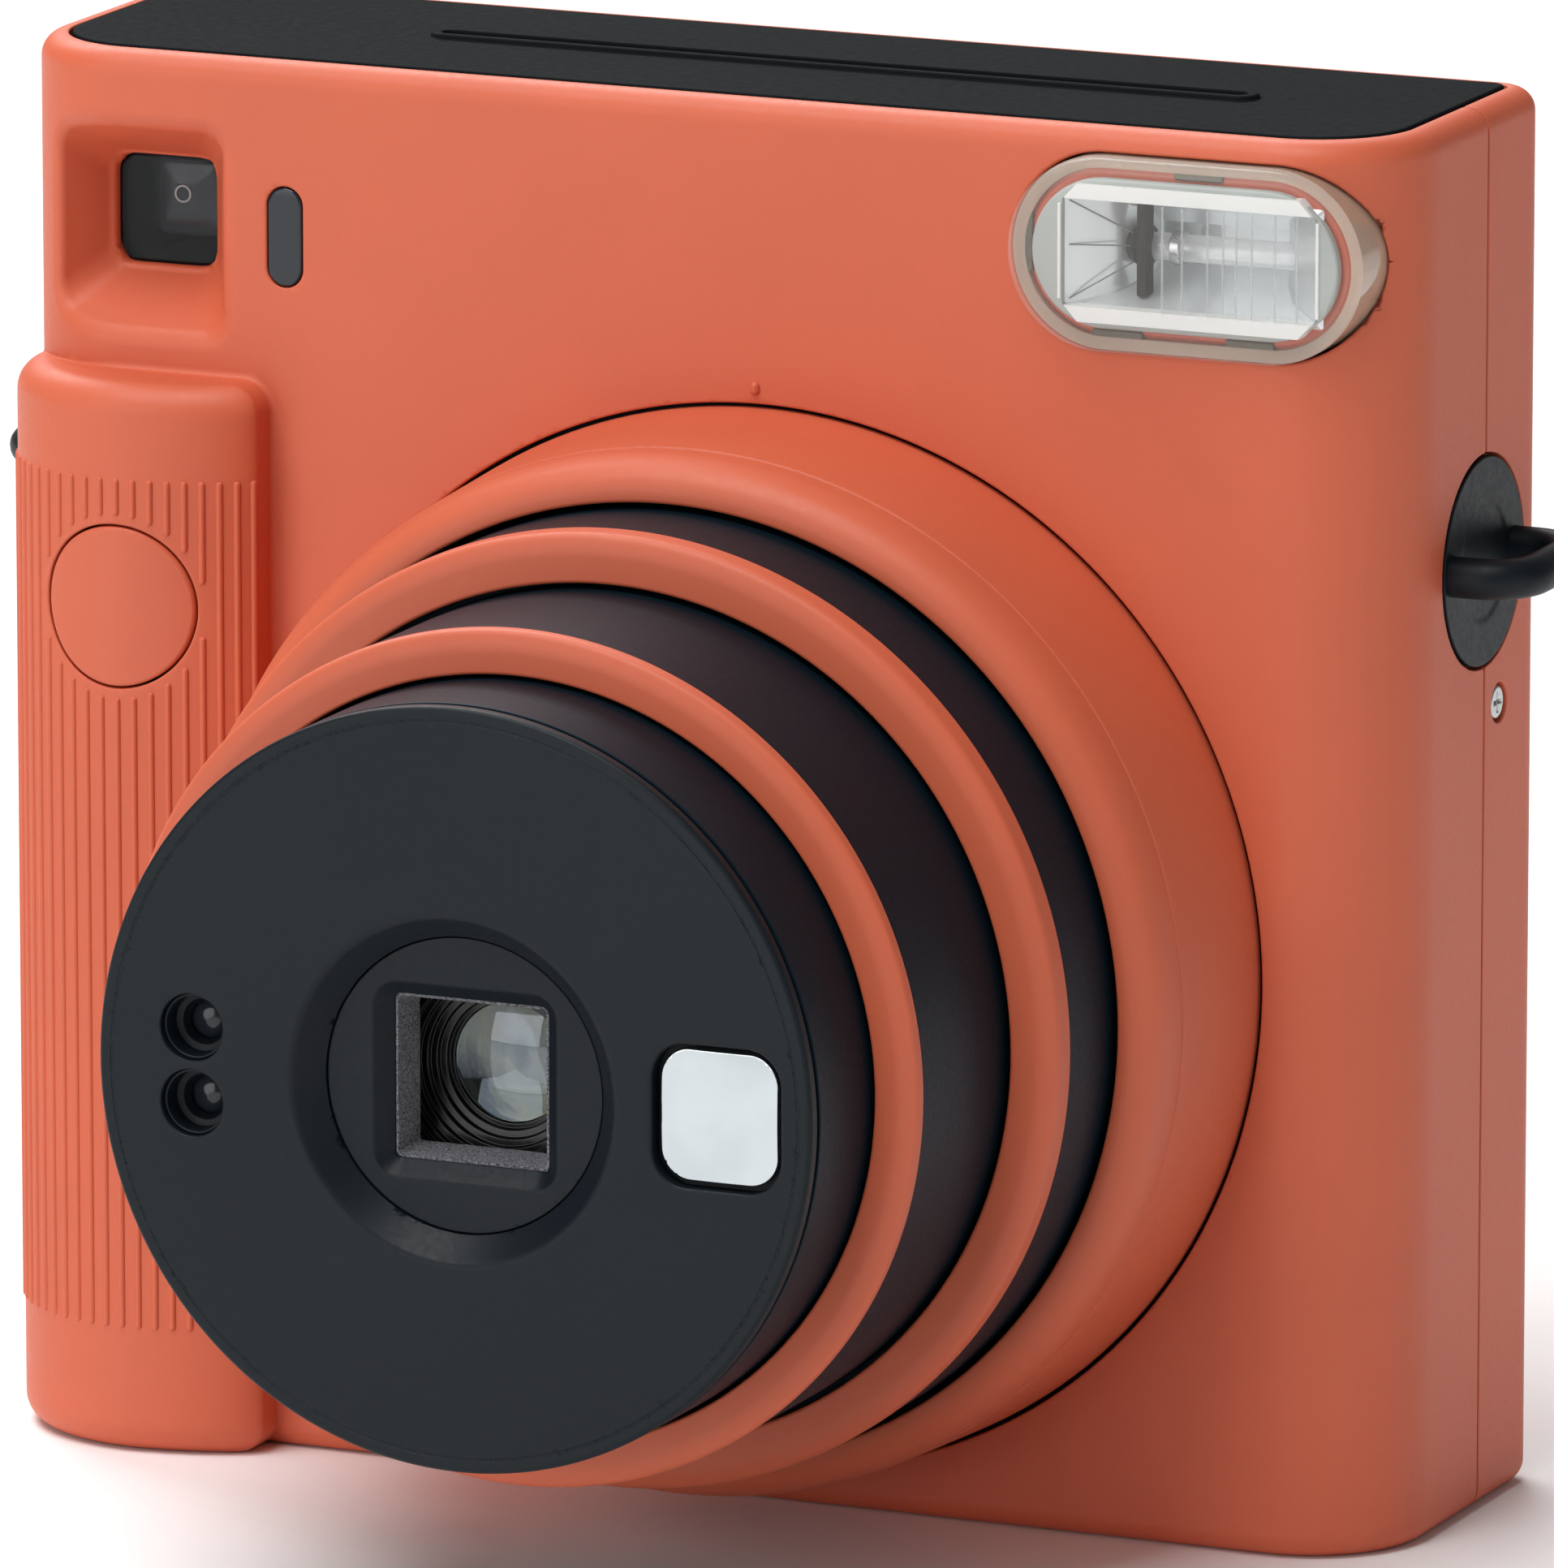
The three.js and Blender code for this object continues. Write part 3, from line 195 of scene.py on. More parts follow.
ORANGE = moulded("orange_plastic", (0.610, 0.122, 0.056), 0.5, 0.16, 0.012, 0.42)
BUTTON_ORANGE = moulded("button_plastic", (0.600, 0.120, 0.055), 0.45, 0.3, 0.004, 0.42)
BLACK = moulded("black_grained_plastic", (0.0075, 0.0085, 0.0095), 0.65, 0.22, 0.02, 0.03, 0.08)
BLACK_FINE = moulded("black_fine_plastic", (0.0035, 0.0070, 0.0105), 0.48, 0.14, 0.008, 0.24, 0.06)
INNER_BLACK = moulded("inner_black_plastic", (0.012, 0.012, 0.013), 0.7, 0.5, 0.03, 0.3, 0.1)
BARREL = moulded("barrel_plastic", (0.003, 0.010, 0.016), 0.45, 0.12, 0.004, 0.15, 0.05)
BARREL.set("Specular Tint", (0.55, 0.80, 1.0, 1))
CLIP = moulded("clip_plastic", (0.085, 0.075, 0.045), 0.4, 0.3, 0.004)
WHITE = moulded("white_plastic", (0.80, 0.81, 0.79), 0.35, 0.5, 0.006)
PLATE_GREY = moulded("grey_grained_plastic", (0.40, 0.43, 0.41), 0.42, 0.14, 0.03, 0.4, 0.1)
BOARD = moulded("circuit_board_lacquer", (0.02, 0.12, 0.05), 0.35, 0.8, 0.02)
STEEL = metal("steel", (0.52, 0.53, 0.54), 0.32, (1, 1, 0.08))
SCREW_STEEL = metal("screw_steel", (0.55, 0.56, 0.56), 0.28)
BRASS = metal("brass", (0.66, 0.49, 0.22), 0.3)
REFLECTOR = moulded("reflector_metal", (0.86, 0.89, 0.90), 0.2, 3, 0.002).set("Metallic", 0.5)
SEAM = moulded("reflector_seam", (0.20, 0.21, 0.22), 0.5, 0.5, 0.002)
MIRROR = metal("mirror_face", (0.54, 0.585, 0.605), 0.03)
JACKET = moulded("cell_jacket", (0.06, 0.07, 0.09), 0.3, 3, 0.002)
CLEAR = clear("clear_plastic", (0.96, 0.93, 0.89), 0.03, 0.03, 0.22)
RIM_CLEAR = clear("clear_rim_plastic", (0.74, 0.54, 0.40), 0.50, 0.05, 0.25)
TINTED = clear("tinted_plastic", (0.012, 0.016, 0.022), 0.55, 0.04, 0.4)
FINDER_GLASS = clear("viewfinder_plastic", (0.004, 0.007, 0.011), 0.16, 0.03, 0.3)
FINDER_GLASS.set("Coat Weight", 0.35)
FINDER_LENS = clear("viewfinder_lens_plastic", (0.030, 0.040, 0.055), 0.45, 0.03, 0.4)
TUBE_GLASS = clear("lamp_glass", (0.93, 0.95, 0.96), 0.25, 0.03, 0.6)
PRISM_CLEAR = clear("prism_line_plastic", (0.60, 0.63, 0.63), 0.35, 0.1, 0.4)
BLACK_GLOSS = moulded("black_gloss_plastic", (0.004, 0.0045, 0.005), 0.22, 0.2, 0.002, 0.5, 0.05)
SENSOR_GLASS = moulded("sensor_window_plastic", (0.016, 0.021, 0.028), 0.14, 0.3, 0.003, 0.45, 0.1)


def lens_glass(name, tint, coat_tint):
    """Polished optical glass with a coloured coating."""
    finish = Finish(name, tint, 0.0)
    finish.set("Transmission Weight", 1.0).set("IOR", 1.52)
    finish.set("Coat Weight", 0.6).set("Coat Roughness", 0.01).set("Coat Tint", (*coat_tint, 1))
    finish.set("Specular Tint", (*coat_tint, 1))
    finish.set("Specular IOR Level", 0.22)
    return finish.vary_roughness(finish.noise(4, 2), 0.0, 0.015)


def flock_with_painted_glints():
    """Short black fibre, with fine bright specks painted into its colour as glints."""
    finish = Finish("light_trap_flock", (0.030, 0.030, 0.032), 0.5)
    # painted glints: noise lifts small specks of the base colour far above the black fibre
    finish.vary_colour(finish.noise(0.16, 3), 0.97, (5.0, 5.0, 5.2))
    finish.vary_roughness(finish.noise(0.3, 2), 0.4, 0.8)
    return finish.bump(finish.noise(0.13, 2), 0.12, 1.0)


FLOCK = flock_with_painted_glints()
FRONT_GLASS = lens_glass("coated_front_glass", (0.93, 0.96, 0.97), (0.86, 0.92, 1.0))
INNER_GLASS = lens_glass("coated_inner_glass", (0.95, 0.97, 0.92), (1.0, 0.93, 0.80))

SLOTS = {
    "orange_shell": [ORANGE, BUTTON_ORANGE],
    "black_panel": [BLACK, BLACK_FINE],
    "black_inner": [INNER_BLACK, BLACK_GLOSS, CLIP, FLOCK, SEAM],
    "barrel_black": [BARREL],
    "white_plastic": [WHITE],
    "flash_frame_grey": [PLATE_GREY],
    "steel": [STEEL, SCREW_STEEL],
    "reflector_metal": [REFLECTOR],
    "mirror_face": [MIRROR],
    "cell_jacket": [JACKET],
    "clear_plastic": [CLEAR, RIM_CLEAR, PRISM_CLEAR],
    "tinted_window": [TINTED, FINDER_GLASS, SENSOR_GLASS],
    "lens_glass": [FINDER_LENS, TUBE_GLASS, FRONT_GLASS, INNER_GLASS],
}
for slot_name, finishes in SLOTS.items():
    for finish in finishes:
        finish.slot = slot_name

# ---- Meshes


def add_mesh(name, points, faces, finish, body, replaces=None, slot=None, normals=None, crease=35):
    """Adds one piece that rides on a body. Faces is an array of triangles, or a list of index lists."""
    mesh = bpy.data.meshes.new(name)
    points = np.asarray(points, float) * MM
    corners = np.concatenate([np.asarray(f) for f in faces]) if isinstance(faces, list) else faces.ravel()
    counts = [len(f) for f in faces] if isinstance(faces, list) else [faces.shape[1]] * len(faces)
    mesh.vertices.add(len(points))
    mesh.vertices.foreach_set("co", points.astype(np.float32).ravel())
    mesh.loops.add(len(corners))
    mesh.loops.foreach_set("vertex_index", corners.astype(np.int32))
    mesh.polygons.add(len(counts))
    starts = np.concatenate([[0], np.cumsum(counts)[:-1]])
    mesh.polygons.foreach_set("loop_start", starts.astype(np.int32))
    mesh.update(calc_edges=True)
    mesh.shade_smooth()
    piece = bpy.data.objects.new(name, mesh)
    bpy.context.scene.collection.objects.link(piece)
    if normals is None:
        mesh.set_sharp_from_angle(angle=math.radians(crease))
        weighted = piece.modifiers.new("face_normals", "WEIGHTED_NORMAL")
        weighted.keep_sharp = True
    else:
        mesh.normals_split_custom_set_from_vertices(normals)
    mesh.materials.append(finish.material)
    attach(piece, body)
    if replaces:
        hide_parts(replaces)


def grid_faces(rows, columns, wrap_rows, wrap_columns):
    """Quads between rows of points, each row with the same number of points."""
    i, j = np.meshgrid(np.arange(rows if wrap_rows else rows - 1),
                       np.arange(columns if wrap_columns else columns - 1), indexing="ij")
    i, j = i.ravel(), j.ravel()
    next_i, next_j = (i + 1) % rows, (j + 1) % columns
    low, high = i * columns, next_i * columns
    return np.stack([low + j, high + j, high + next_j, low + next_j], 1)


def volume(points, faces):
    """Signed volume of a closed mesh, to tell which way its faces look."""
    total = 0.0
    for face in faces:
        corner = points[face[0]]
        for second, third in zip(face[1:-1], face[2:]):
            total += np.dot(corner, np.cross(points[second], points[third]))
    return total


def loft(name, rings, finish, body="body", closed=False, **more):
    """Skin over rings of points. The ends are capped, unless the last ring joins the first."""
    rings = [np.asarray(ring, float) for ring in rings]
    points = np.concatenate(rings)
    count = len(rings[0])
    faces = [list(f) for f in grid_faces(len(rings), count, closed, True)]
    if not closed:
        faces.append(list(range(count))[::-1])
        faces.append(list(range(len(points) - count, len(points))))
    if volume(points, faces) < 0:
        faces = [f[::-1] for f in faces]
    add_mesh(name, points, faces, finish, body, **more)


def rounded_profile(corners, closed=True, steps=5):
    """Rounds a chain of (radius, along, fillet) corners into plain points."""
    flat = [np.array(c[:2], float) for c in corners]
    out = []
    for i, corner in enumerate(corners):
        fillet = corner[2] if len(corner) > 2 else 0
        end = not closed and i in (0, len(corners) - 1)
        if fillet == 0 or end:
            out.append(flat[i])
            continue
        before, here, after = flat[i - 1], flat[i], flat[(i + 1) % len(flat)]
        into, away = before - here, after - here
        reach = min(fillet, np.linalg.norm(into) * 0.49, np.linalg.norm(away) * 0.49)
        enter = here + into / np.linalg.norm(into) * reach
        leave = here + away / np.linalg.norm(away) * reach
        for t in np.linspace(0, 1, steps + 1):
            out.append(enter * (1 - t) ** 2 + here * 2 * t * (1 - t) + leave * t ** 2)
    return np.array(out)


def spin(name, corners, finish, body="body", centre=(AXIS_X, AXIS_Z), along="y", segments=192, solid=False,
         **more):
    """A turned piece. Corners are (radius, along, fillet). A solid one starts and ends on its axis."""
    profile = rounded_profile(corners, closed=not solid)
    angle = np.linspace(0, 2 * math.pi, segments, endpoint=False)
    rings = []
    for radius, height in profile:
        u = centre[0] + max(radius, 1e-4) * np.cos(angle)
        v = centre[1] + max(radius, 1e-4) * np.sin(angle)
        level = np.full(segments, height)
        columns = {"x": (level, u, v), "y": (u, level, v), "z": (u, v, level)}[along]
        rings.append(np.stack(columns, 1))
    loft(name, rings, finish, body, closed=not solid, **more)


def rounded_outline(width, height, corner, steps=12, across=2):
    """A rounded rectangle about the origin, always with the same number of points."""
    corner = max(min(corner, width / 2 - 1e-3, height / 2 - 1e-3), 1e-3)
    reach = (width / 2 - corner, height / 2 - corner)
    points = []
    for quarter, (sign_u, sign_v) in enumerate([(1, 1), (-1, 1), (-1, -1), (1, -1)]):
        for t in np.linspace(0, math.pi / 2, steps):
            angle = quarter * math.pi / 2 + t
            points.append((sign_u * reach[0] + corner * math.cos(angle),
                           sign_v * reach[1] + corner * math.sin(angle)))
    points = np.array(points)
    middles = []
    for i, point in enumerate(points):
        middles.append(point)
        if (i + 1) % steps == 0:
            following = points[(i + 1) % len(points)]
            middles += [point + (following - point) * k / (across + 1) for k in range(1, across + 1)]
    return np.array(middles)


def frontal_rings(centre, width, height, corner, stations, **shape):
    """Rings that face the front. Stations are (inset, y)."""
    rings = []
    for inset, y in stations:
        outline = rounded_outline(width - 2 * inset, height - 2 * inset, corner - inset, **shape)
        rings.append(np.stack([centre[0] + outline[:, 0], np.full(len(outline), y),
                               centre[1] + outline[:, 1]], 1))
    return rings


def edge_stations(inset, front, back, radius, steps=5):
    """Stations of a slab from its back to its front, with its front edge rounded."""
    arc = [(inset + radius * (1 - math.cos(t)), front + radius * (1 - math.sin(t)))
           for t in np.linspace(0, math.pi / 2, steps + 1)]
    return [(inset, back)] + arc


def slab(name, centre, size, stations, finish, body="body", steps=12, **more):
    """A rounded plate that faces the front. Its size is (width, height, corner radius)."""
    loft(name, frontal_rings(centre, *size, stations, steps=steps), finish, body, **more)


def sweep(name, path, radius, finish, body="body", sides=20, **more):
    """A round rod along a chain of points."""
    path = np.asarray(path, float)
    tangents = np.gradient(path, axis=0)
    tangents /= np.linalg.norm(tangents, axis=1)[:, None]
    up = np.array([0, 0, 1.0])
    angle = np.linspace(0, 2 * math.pi, sides, endpoint=False)
    rings = []
    for point, tangent in zip(path, tangents):
        side = np.cross(tangent, up)
        side /= np.linalg.norm(side)
        top = np.cross(side, tangent)
        rings.append(point + radius * (np.outer(np.cos(angle), side) + np.outer(np.sin(angle), top)))
    loft(name, rings, finish, body, **more)


# ---- Signed-distance solids, for shells whose faces flow into each other


def both(a, b, r=0.0):
    """What is inside a and b, with an edge rounded by r."""
    if np.all(np.asarray(r) == 0):
        return np.maximum(a, b)
    return np.minimum(-r, np.maximum(a, b)) + np.hypot(np.maximum(r + a, 0), np.maximum(r + b, 0))


def without(a, b, r=0.0):
    return both(a, -b, r)


def either(a, b, r=0.0):
    """What is inside a or b, with a fillet of r where they meet."""
    return -both(-a, -b, r)


def carve(solid, cuts):
    """Takes cuts of (field, edge radius) out of a solid, one after the other."""
    for cut, r in cuts:
        solid = without(solid, cut, r)
    return solid


def between(value, low, high):
    return np.maximum(low - value, value - high)


def rect(u, v, u0, u1, v0, v1, corners):
    """Distance to a rounded rectangle. Corners go low left, low right, high right, high left."""
    radii = corners if isinstance(corners, tuple) else (corners,) * 4
    du, dv = u - (u0 + u1) / 2, v - (v0 + v1) / 2
    r = np.where(du > 0, np.where(dv > 0, radii[2], radii[1]), np.where(dv > 0, radii[3], radii[0]))
    qu = np.abs(du) - (u1 - u0) / 2 + r
    qv = np.abs(dv) - (v1 - v0) / 2 + r
    return np.minimum(np.maximum(qu, qv), 0) + np.hypot(np.maximum(qu, 0), np.maximum(qv, 0)) - r


def centred(u, v, centre, width, height, corner):
    return rect(u, v, centre[0] - width / 2, centre[0] + width / 2,
                centre[1] - height / 2, centre[1] + height / 2, corner)


def quarter_curve(u, v, a, b, power):
    """First-order distance to a quarter of a superellipse with half-axes a and b."""
    u, v = np.maximum(u, 1e-6), np.maximum(v, 1e-6)
    k = ((u / a) ** power + (v / b) ** power) ** (1 / power)
    slope = k ** (1 - power) * np.hypot(u ** (power - 1) / a ** power, v ** (power - 1) / b ** power)
    return (k - 1) / slope


CUBE = np.array([(i, j, k) for i in (0, 1) for j in (0, 1) for k in (0, 1)])
CUBE_EDGES = [(a, b) for a in range(8) for b in range(a + 1, 8) if np.abs(CUBE[a] - CUBE[b]).sum() == 1]


def slope_of(field, p):
    """Gradient of a field at points, from two samples along each axis."""
    h = 0.01
    columns = [field(*(p + step).T) - field(*(p - step).T) for step in np.eye(3) * h]
    return np.stack(columns, 1) / (2 * h)


def settle(field, p, reach, rounds=4):
    """Moves points along the gradient onto the surface."""
    for _ in range(rounds):
        gradient = slope_of(field, p)
        size = np.maximum((gradient ** 2).sum(1), 0.05)
        move = gradient * (field(*p.T) / size)[:, None]
        length = np.linalg.norm(move, axis=1)
        move *= np.minimum(1, reach / np.maximum(length, 1e-9))[:, None]
        p = p - move
    return p


def surface_net(field, low, high, cell):
    """Points and triangles of a field's zero surface, one point for each cell that it crosses."""
    axes = [np.arange(lo - 1.6 * cell, hi + 2.6 * cell, cell) for lo, hi in zip(low, high)]
    x, y, z = np.meshgrid(*axes, indexing="ij", sparse=True)
    values = field(x, y, z) + np.zeros([len(a) for a in axes])
    inside = values < 0
    size = np.array(values.shape) - 1
    filled = sum(inside[i:size[0] + i, j:size[1] + j, k:size[2] + k].astype(np.int8) for i, j, k in CUBE)
    cells = np.argwhere((filled > 0) & (filled < 8))
    number = np.full(size, -1)
    number[tuple(cells.T)] = np.arange(len(cells))
    corner_values = np.stack([values[tuple((cells + c).T)] for c in CUBE], 1)
    total = np.zeros((len(cells), 3))
    count = np.zeros(len(cells))
    for a, b in CUBE_EDGES:
        va, vb = corner_values[:, a], corner_values[:, b]
        crossed = (va < 0) != (vb < 0)
        t = np.where(crossed, va / np.where(crossed, va - vb, 1), 0)
        total += np.where(crossed[:, None], CUBE[a] + t[:, None] * (CUBE[b] - CUBE[a]), 0)
        count += crossed
    origin = np.array([a[0] for a in axes])
    points = origin + (cells + total / count[:, None]) * cell
    quads = []
    for axis in range(3):
        one, two = np.eye(3, dtype=int)[(axis + 1) % 3], np.eye(3, dtype=int)[(axis + 2) % 3]
        ahead = np.roll(inside, -1, axis)
        changed = inside != ahead
        changed[tuple(slice(-1, None) if i == axis else slice(None) for i in range(3))] = False
        p = np.argwhere(changed)
        p = p[(p[:, (axis + 1) % 3] > 0) & (p[:, (axis + 2) % 3] > 0)]
        p = p[(p < size).all(1)]
        quad = np.stack([number[tuple(q.T)] for q in (p - one - two, p - two, p, p - one)], 1)
        outward = inside[tuple(p.T)]
        quads.append(np.where(outward[:, None], quad, quad[:, ::-1]))
    quads = np.concatenate(quads)
    return points, np.concatenate([quads[:, [0, 1, 2]], quads[:, [0, 2, 3]]])


def refine(field, points, triangles, tolerance, finest, seen):
    """Splits the edges whose middle is off the surface, and settles the new points."""
    total = len(points)
    pairs = np.concatenate([triangles[:, [0, 1]], triangles[:, [1, 2]], triangles[:, [2, 0]]])
    keys, inverse = np.unique(pairs.min(1) * total + pairs.max(1), return_inverse=True)
    first, second = keys // total, keys % total
    middle = (points[first] + points[second]) / 2
    length = np.linalg.norm(points[first] - points[second], axis=1)
    split = (np.abs(field(*middle.T)) > tolerance) & (length > finest)
    if seen is not None:
        split &= seen(*middle.T)
    fresh = np.full(len(keys), -1)
    fresh[split] = total + np.arange(split.sum())
    points = np.concatenate([points, settle(field, middle[split], finest)])
    marks = fresh[inverse].reshape(3, -1).T
    cuts = (marks >= 0).sum(1)
    out = [triangles[cuts == 0]]
    for number, wanted in ((1, True), (2, False)):
        chosen = cuts == number
        tri, mark = triangles[chosen], marks[chosen]
        turn = ((mark >= 0) == wanted).argmax(1) + (0 if wanted else 1)
        order = (turn[:, None] + np.arange(3)) % 3
        a, b, c = np.take_along_axis(tri, order, 1).T
        ab, bc, _ = np.take_along_axis(mark, order, 1).T
        if number == 1:
            out += [np.stack([a, ab, c], 1), np.stack([ab, b, c], 1)]
        else:
            out += [np.stack([ab, b, bc], 1), np.stack([a, ab, bc], 1), np.stack([a, bc, c], 1)]
    (a, b, c), (ab, bc, ca) = triangles[cuts == 3].T, marks[cuts == 3].T
    out += [np.stack(t, 1) for t in ((a, ab, ca), (ab, b, bc), (ca, bc, c), (ab, bc, ca))]
    return points, np.concatenate(out)


def sculpt(name, field, low, high, cell, finish, body="body", finest=0.15, tolerance=0.012, seen=None,
           extra=(), **more):
    """A piece whose surface is a field's zero surface. Extra is a list of (points, triangles, normals)."""
    points, triangles = surface_net(field, low, high, cell)
    points = settle(field, points, cell / 2, 5)
    for _ in range(5):
        before = len(points)
        points, triangles = refine(field, points, triangles, tolerance, finest, seen)
        if len(points) == before:
            break
    normals = slope_of(field, points)
    normals /= np.maximum(np.linalg.norm(normals, axis=1), 1e-6)[:, None]
    for more_points, more_triangles, more_normals in extra:
        triangles = np.concatenate([triangles, more_triangles + len(points)])
        points = np.concatenate([points, more_points])
        normals = np.concatenate([normals, more_normals])
    add_mesh(name, points, triangles, finish, body, normals=normals, **more)


# ---- Body shells


def body_plan(x, y):
    return rect(x, y, -HALF_WIDTH, HALF_WIDTH, -HALF_DEPTH, HALF_DEPTH, (11, 11, 4, 4))


def grip_plan(x, y):
    """The grip seen from above: a wide curve on the left, and a slope down to a low wall on the right."""
    left = quarter_curve(GRIP_PEAK_X - x, GRIP_SIDE_Y - y, GRIP_PEAK_X + HALF_WIDTH,
                         GRIP_SIDE_Y - GRIP_TIP_Y, 2)
    left = np.where(y > GRIP_SIDE_Y, -HALF_WIDTH - x, left)
    right = quarter_curve(x - GRIP_PEAK_X, GRIP_WALL_END - y, GRIP_RIGHT_X - GRIP_PEAK_X,
                          GRIP_WALL_END - GRIP_TIP_Y, GRIP_POWER)
    right = np.where(y > GRIP_WALL_END, x - GRIP_RIGHT_X, right)
    return np.maximum(np.where(x < GRIP_PEAK_X, left, right), y - 3)


def body_box(x, y, z):
    return both(body_plan(x, y), between(z, 0, HEIGHT), 2.0)


def body_outer(x, y, z):
    """The box and the grip. The fillet between them fades out towards the side and the base."""
    grip = both(grip_plan(x, y), between(z, 0, GRIP_TOP), 2.6)
    away_from_side = np.clip((x + 62) / 8, 0.01, 1)
    away_from_base = np.clip((z - 1) / 8, 0.01, 1)
    return either(body_box(x, y, z), grip, 0.5 * away_from_side * away_from_base)


def top_pocket(x, y, z):
    """Where the top plate lies."""
    return both(body_plan(x, y) + 2.4, 120.9 - z)


def roller_bay(x, y, z):
    return both(rect(x, y, -35.5, 49.5, -9.5, 10.5, 0.5), between(z, 117, 122))


def lug_recess(x, y, z):
    radius = np.hypot(y - LUG_Y, z - LUG_Z)
    seat = both(radius - 9.3, HALF_WIDTH - 1.3 - np.abs(x))
    return either(seat, both(radius - 4.3, HALF_WIDTH - 6 - np.abs(x)))


def finder_funnel(x, y, z):
    """The recess narrows from the front face to the window's frame."""
    depth = np.clip((y + HALF_DEPTH) / (FINDER_Y - 0.2 + HALF_DEPTH), -0.05, 1.1)
    half = 5.0
    left, right, low, high = [edge + (middle + side * half - edge) * depth for edge, middle, side in (
        (-61.5, FINDER_X, -1), (-43.2, FINDER_X, 1), (97.7, FINDER_Z, -1), (115.9, FINDER_Z, 1))]
    lean = 0.80                         # a sloped wall is nearer than it is when measured across
    u = np.maximum(left - x, x - right) * lean
    v = np.maximum(low - z, z - high) * lean
    return both(both(u, v, 1.6), y - (FINDER_Y - 0.35), 0.35)


def front_cover(x, y, z):
    outer = body_outer(x, y, z)
    cavity = both(outer + WALL, z - CEILING_Z, 0.4)
    block = both(rect(x, z, -70, -41.6, 96.2, 117.4, 1), y - FINDER_Y - 1)
    shell = both(without(outer, without(cavity, block)), y - PARTING_Y, 0.12)
    window = centred(x, z, (FINDER_X, FINDER_Z), 9.5, 9.5, 1.6)
    flash = centred(x, z, (FLASH_X, FLASH_Z), FLASH_WIDTH + 0.3, FLASH_HEIGHT + 0.3, FLASH_HEIGHT / 2)
    flash_depth = np.where(x > FLASH_X + 10.5, -12.8, -8)
    pill = centred(x, z, (PILL_X, PILL_Z), 3.4, 8.8, 1.69)
    battery = rect(y, z, -13.2, PARTING_Y + 5, 4.8, 68.2, 0.6)
    return carve(shell, [
        (top_pocket(x, y, z), 0.15),
        (roller_bay(x, y, z), 0),
        (finder_funnel(x, y, z), 0.9),
        (both(window, between(y, -15, -7)), 0.12),
        (both(np.hypot(x - AXIS_X, z - AXIS_Z) - DIAL_OPENING, between(y, -25, -9)), 0.2),
        (both(np.hypot(x - BUTTON_X, z - BUTTON_Z) - BUTTON_RADIUS - 0.2, y + 19), 0.22),
        (both(flash, between(y, -30, flash_depth)), 0.25),
        (both(pill, between(y, -30, -10)), 0.2),
        (both(battery, x + HALF_WIDTH - 2.9), 0.15),
        (lug_recess(x, y, z), 0.12),
    ])


def ribs_and_mark():
    """Upright ribs on the grip, kept clear of the button, and the index mark above the dial."""
    angle = np.linspace(0, math.pi / 2, 400)
    cosine, sine = np.abs(np.cos(angle)) ** (2 / GRIP_POWER), np.sin(angle) ** (2 / GRIP_POWER)
    right = np.stack([GRIP_PEAK_X + (GRIP_RIGHT_X - GRIP_PEAK_X) * cosine,
                      GRIP_WALL_END + (GRIP_TIP_Y - GRIP_WALL_END) * sine], 1)
    left = np.stack([GRIP_PEAK_X - (GRIP_PEAK_X + HALF_WIDTH) * np.sin(angle),
                     GRIP_SIDE_Y + (GRIP_TIP_Y - GRIP_SIDE_Y) * np.cos(angle)], 1)
    contour = np.concatenate([right, left[1:]])
    along = np.concatenate([[0], np.cumsum(np.hypot(*np.diff(contour, axis=0).T))])
    parts = []
    first, margin, sunk, rib_radius = 0.42, 1.5, 0.10, 0.33
    inside_grip = (-50, -12)
    for s in np.arange(first, along[-1] - margin, RIB_PITCH):
        back, here, ahead = [np.array([np.interp(s + d, along, contour[:, i]) for i in (0, 1)])
                             for d in (-0.2, 0, 0.2)]
        tangent = (ahead - back) / np.linalg.norm(ahead - back)
        normal = np.array([-tangent[1], tangent[0]])
        normal *= -1 if normal @ (here - inside_grip) < 0 else 1
        spans = [(RIB_LOW, RIB_HIGH)]
        aside = abs(here[0] - BUTTON_X)
        clear_radius = BUTTON_RADIUS + 0.95
        if aside < clear_radius:
            half = math.sqrt(clear_radius ** 2 - aside ** 2)
            spans = [(RIB_LOW, BUTTON_Z - half), (BUTTON_Z + half, RIB_HIGH)]
        for low, high in spans:
            parts.append(capsule(here - sunk * normal, low, high, rib_radius))
    parts.append(capsule((6.7, -HALF_DEPTH - 0.02), 96.9, 98.1, 0.42))
    return parts


def capsule(foot, low, high, radius, sides=14, domes=4):
    """An upright rod with round ends."""
    levels = [(radius * math.cos(t), low + radius * (1 + math.sin(t)))
              for t in np.linspace(-math.pi / 2, 0, domes + 1)]
    count = max(2, int((high - low) / 4))
    levels += [(radius, z) for z in np.linspace(low + radius, high - radius, count)[1:-1]]
    levels += [(radius * math.cos(t), high - radius * (1 - math.sin(t)))
               for t in np.linspace(0, math.pi / 2, domes + 1)]
    angle = np.linspace(0, 2 * math.pi, sides, endpoint=False)
    points, normals = [], []
    for r, z in levels:
        lean = max(min((z - low - radius) / radius, 0), -1) + min(max((z - high + radius) / radius, 0), 1)
        level = math.sqrt(max(1 - lean ** 2, 0))
        for a in angle:
            points.append((foot[0] + max(r, 1e-3) * math.cos(a), foot[1] + max(r, 1e-3) * math.sin(a), z))
            normals.append((math.cos(a) * level, math.sin(a) * level, lean))
    quads = grid_faces(len(levels), sides, False, True)[:, ::-1]
    return np.array(points), np.concatenate([quads[:, [0, 1, 2]], quads[:, [0, 2, 3]]]), np.array(normals)


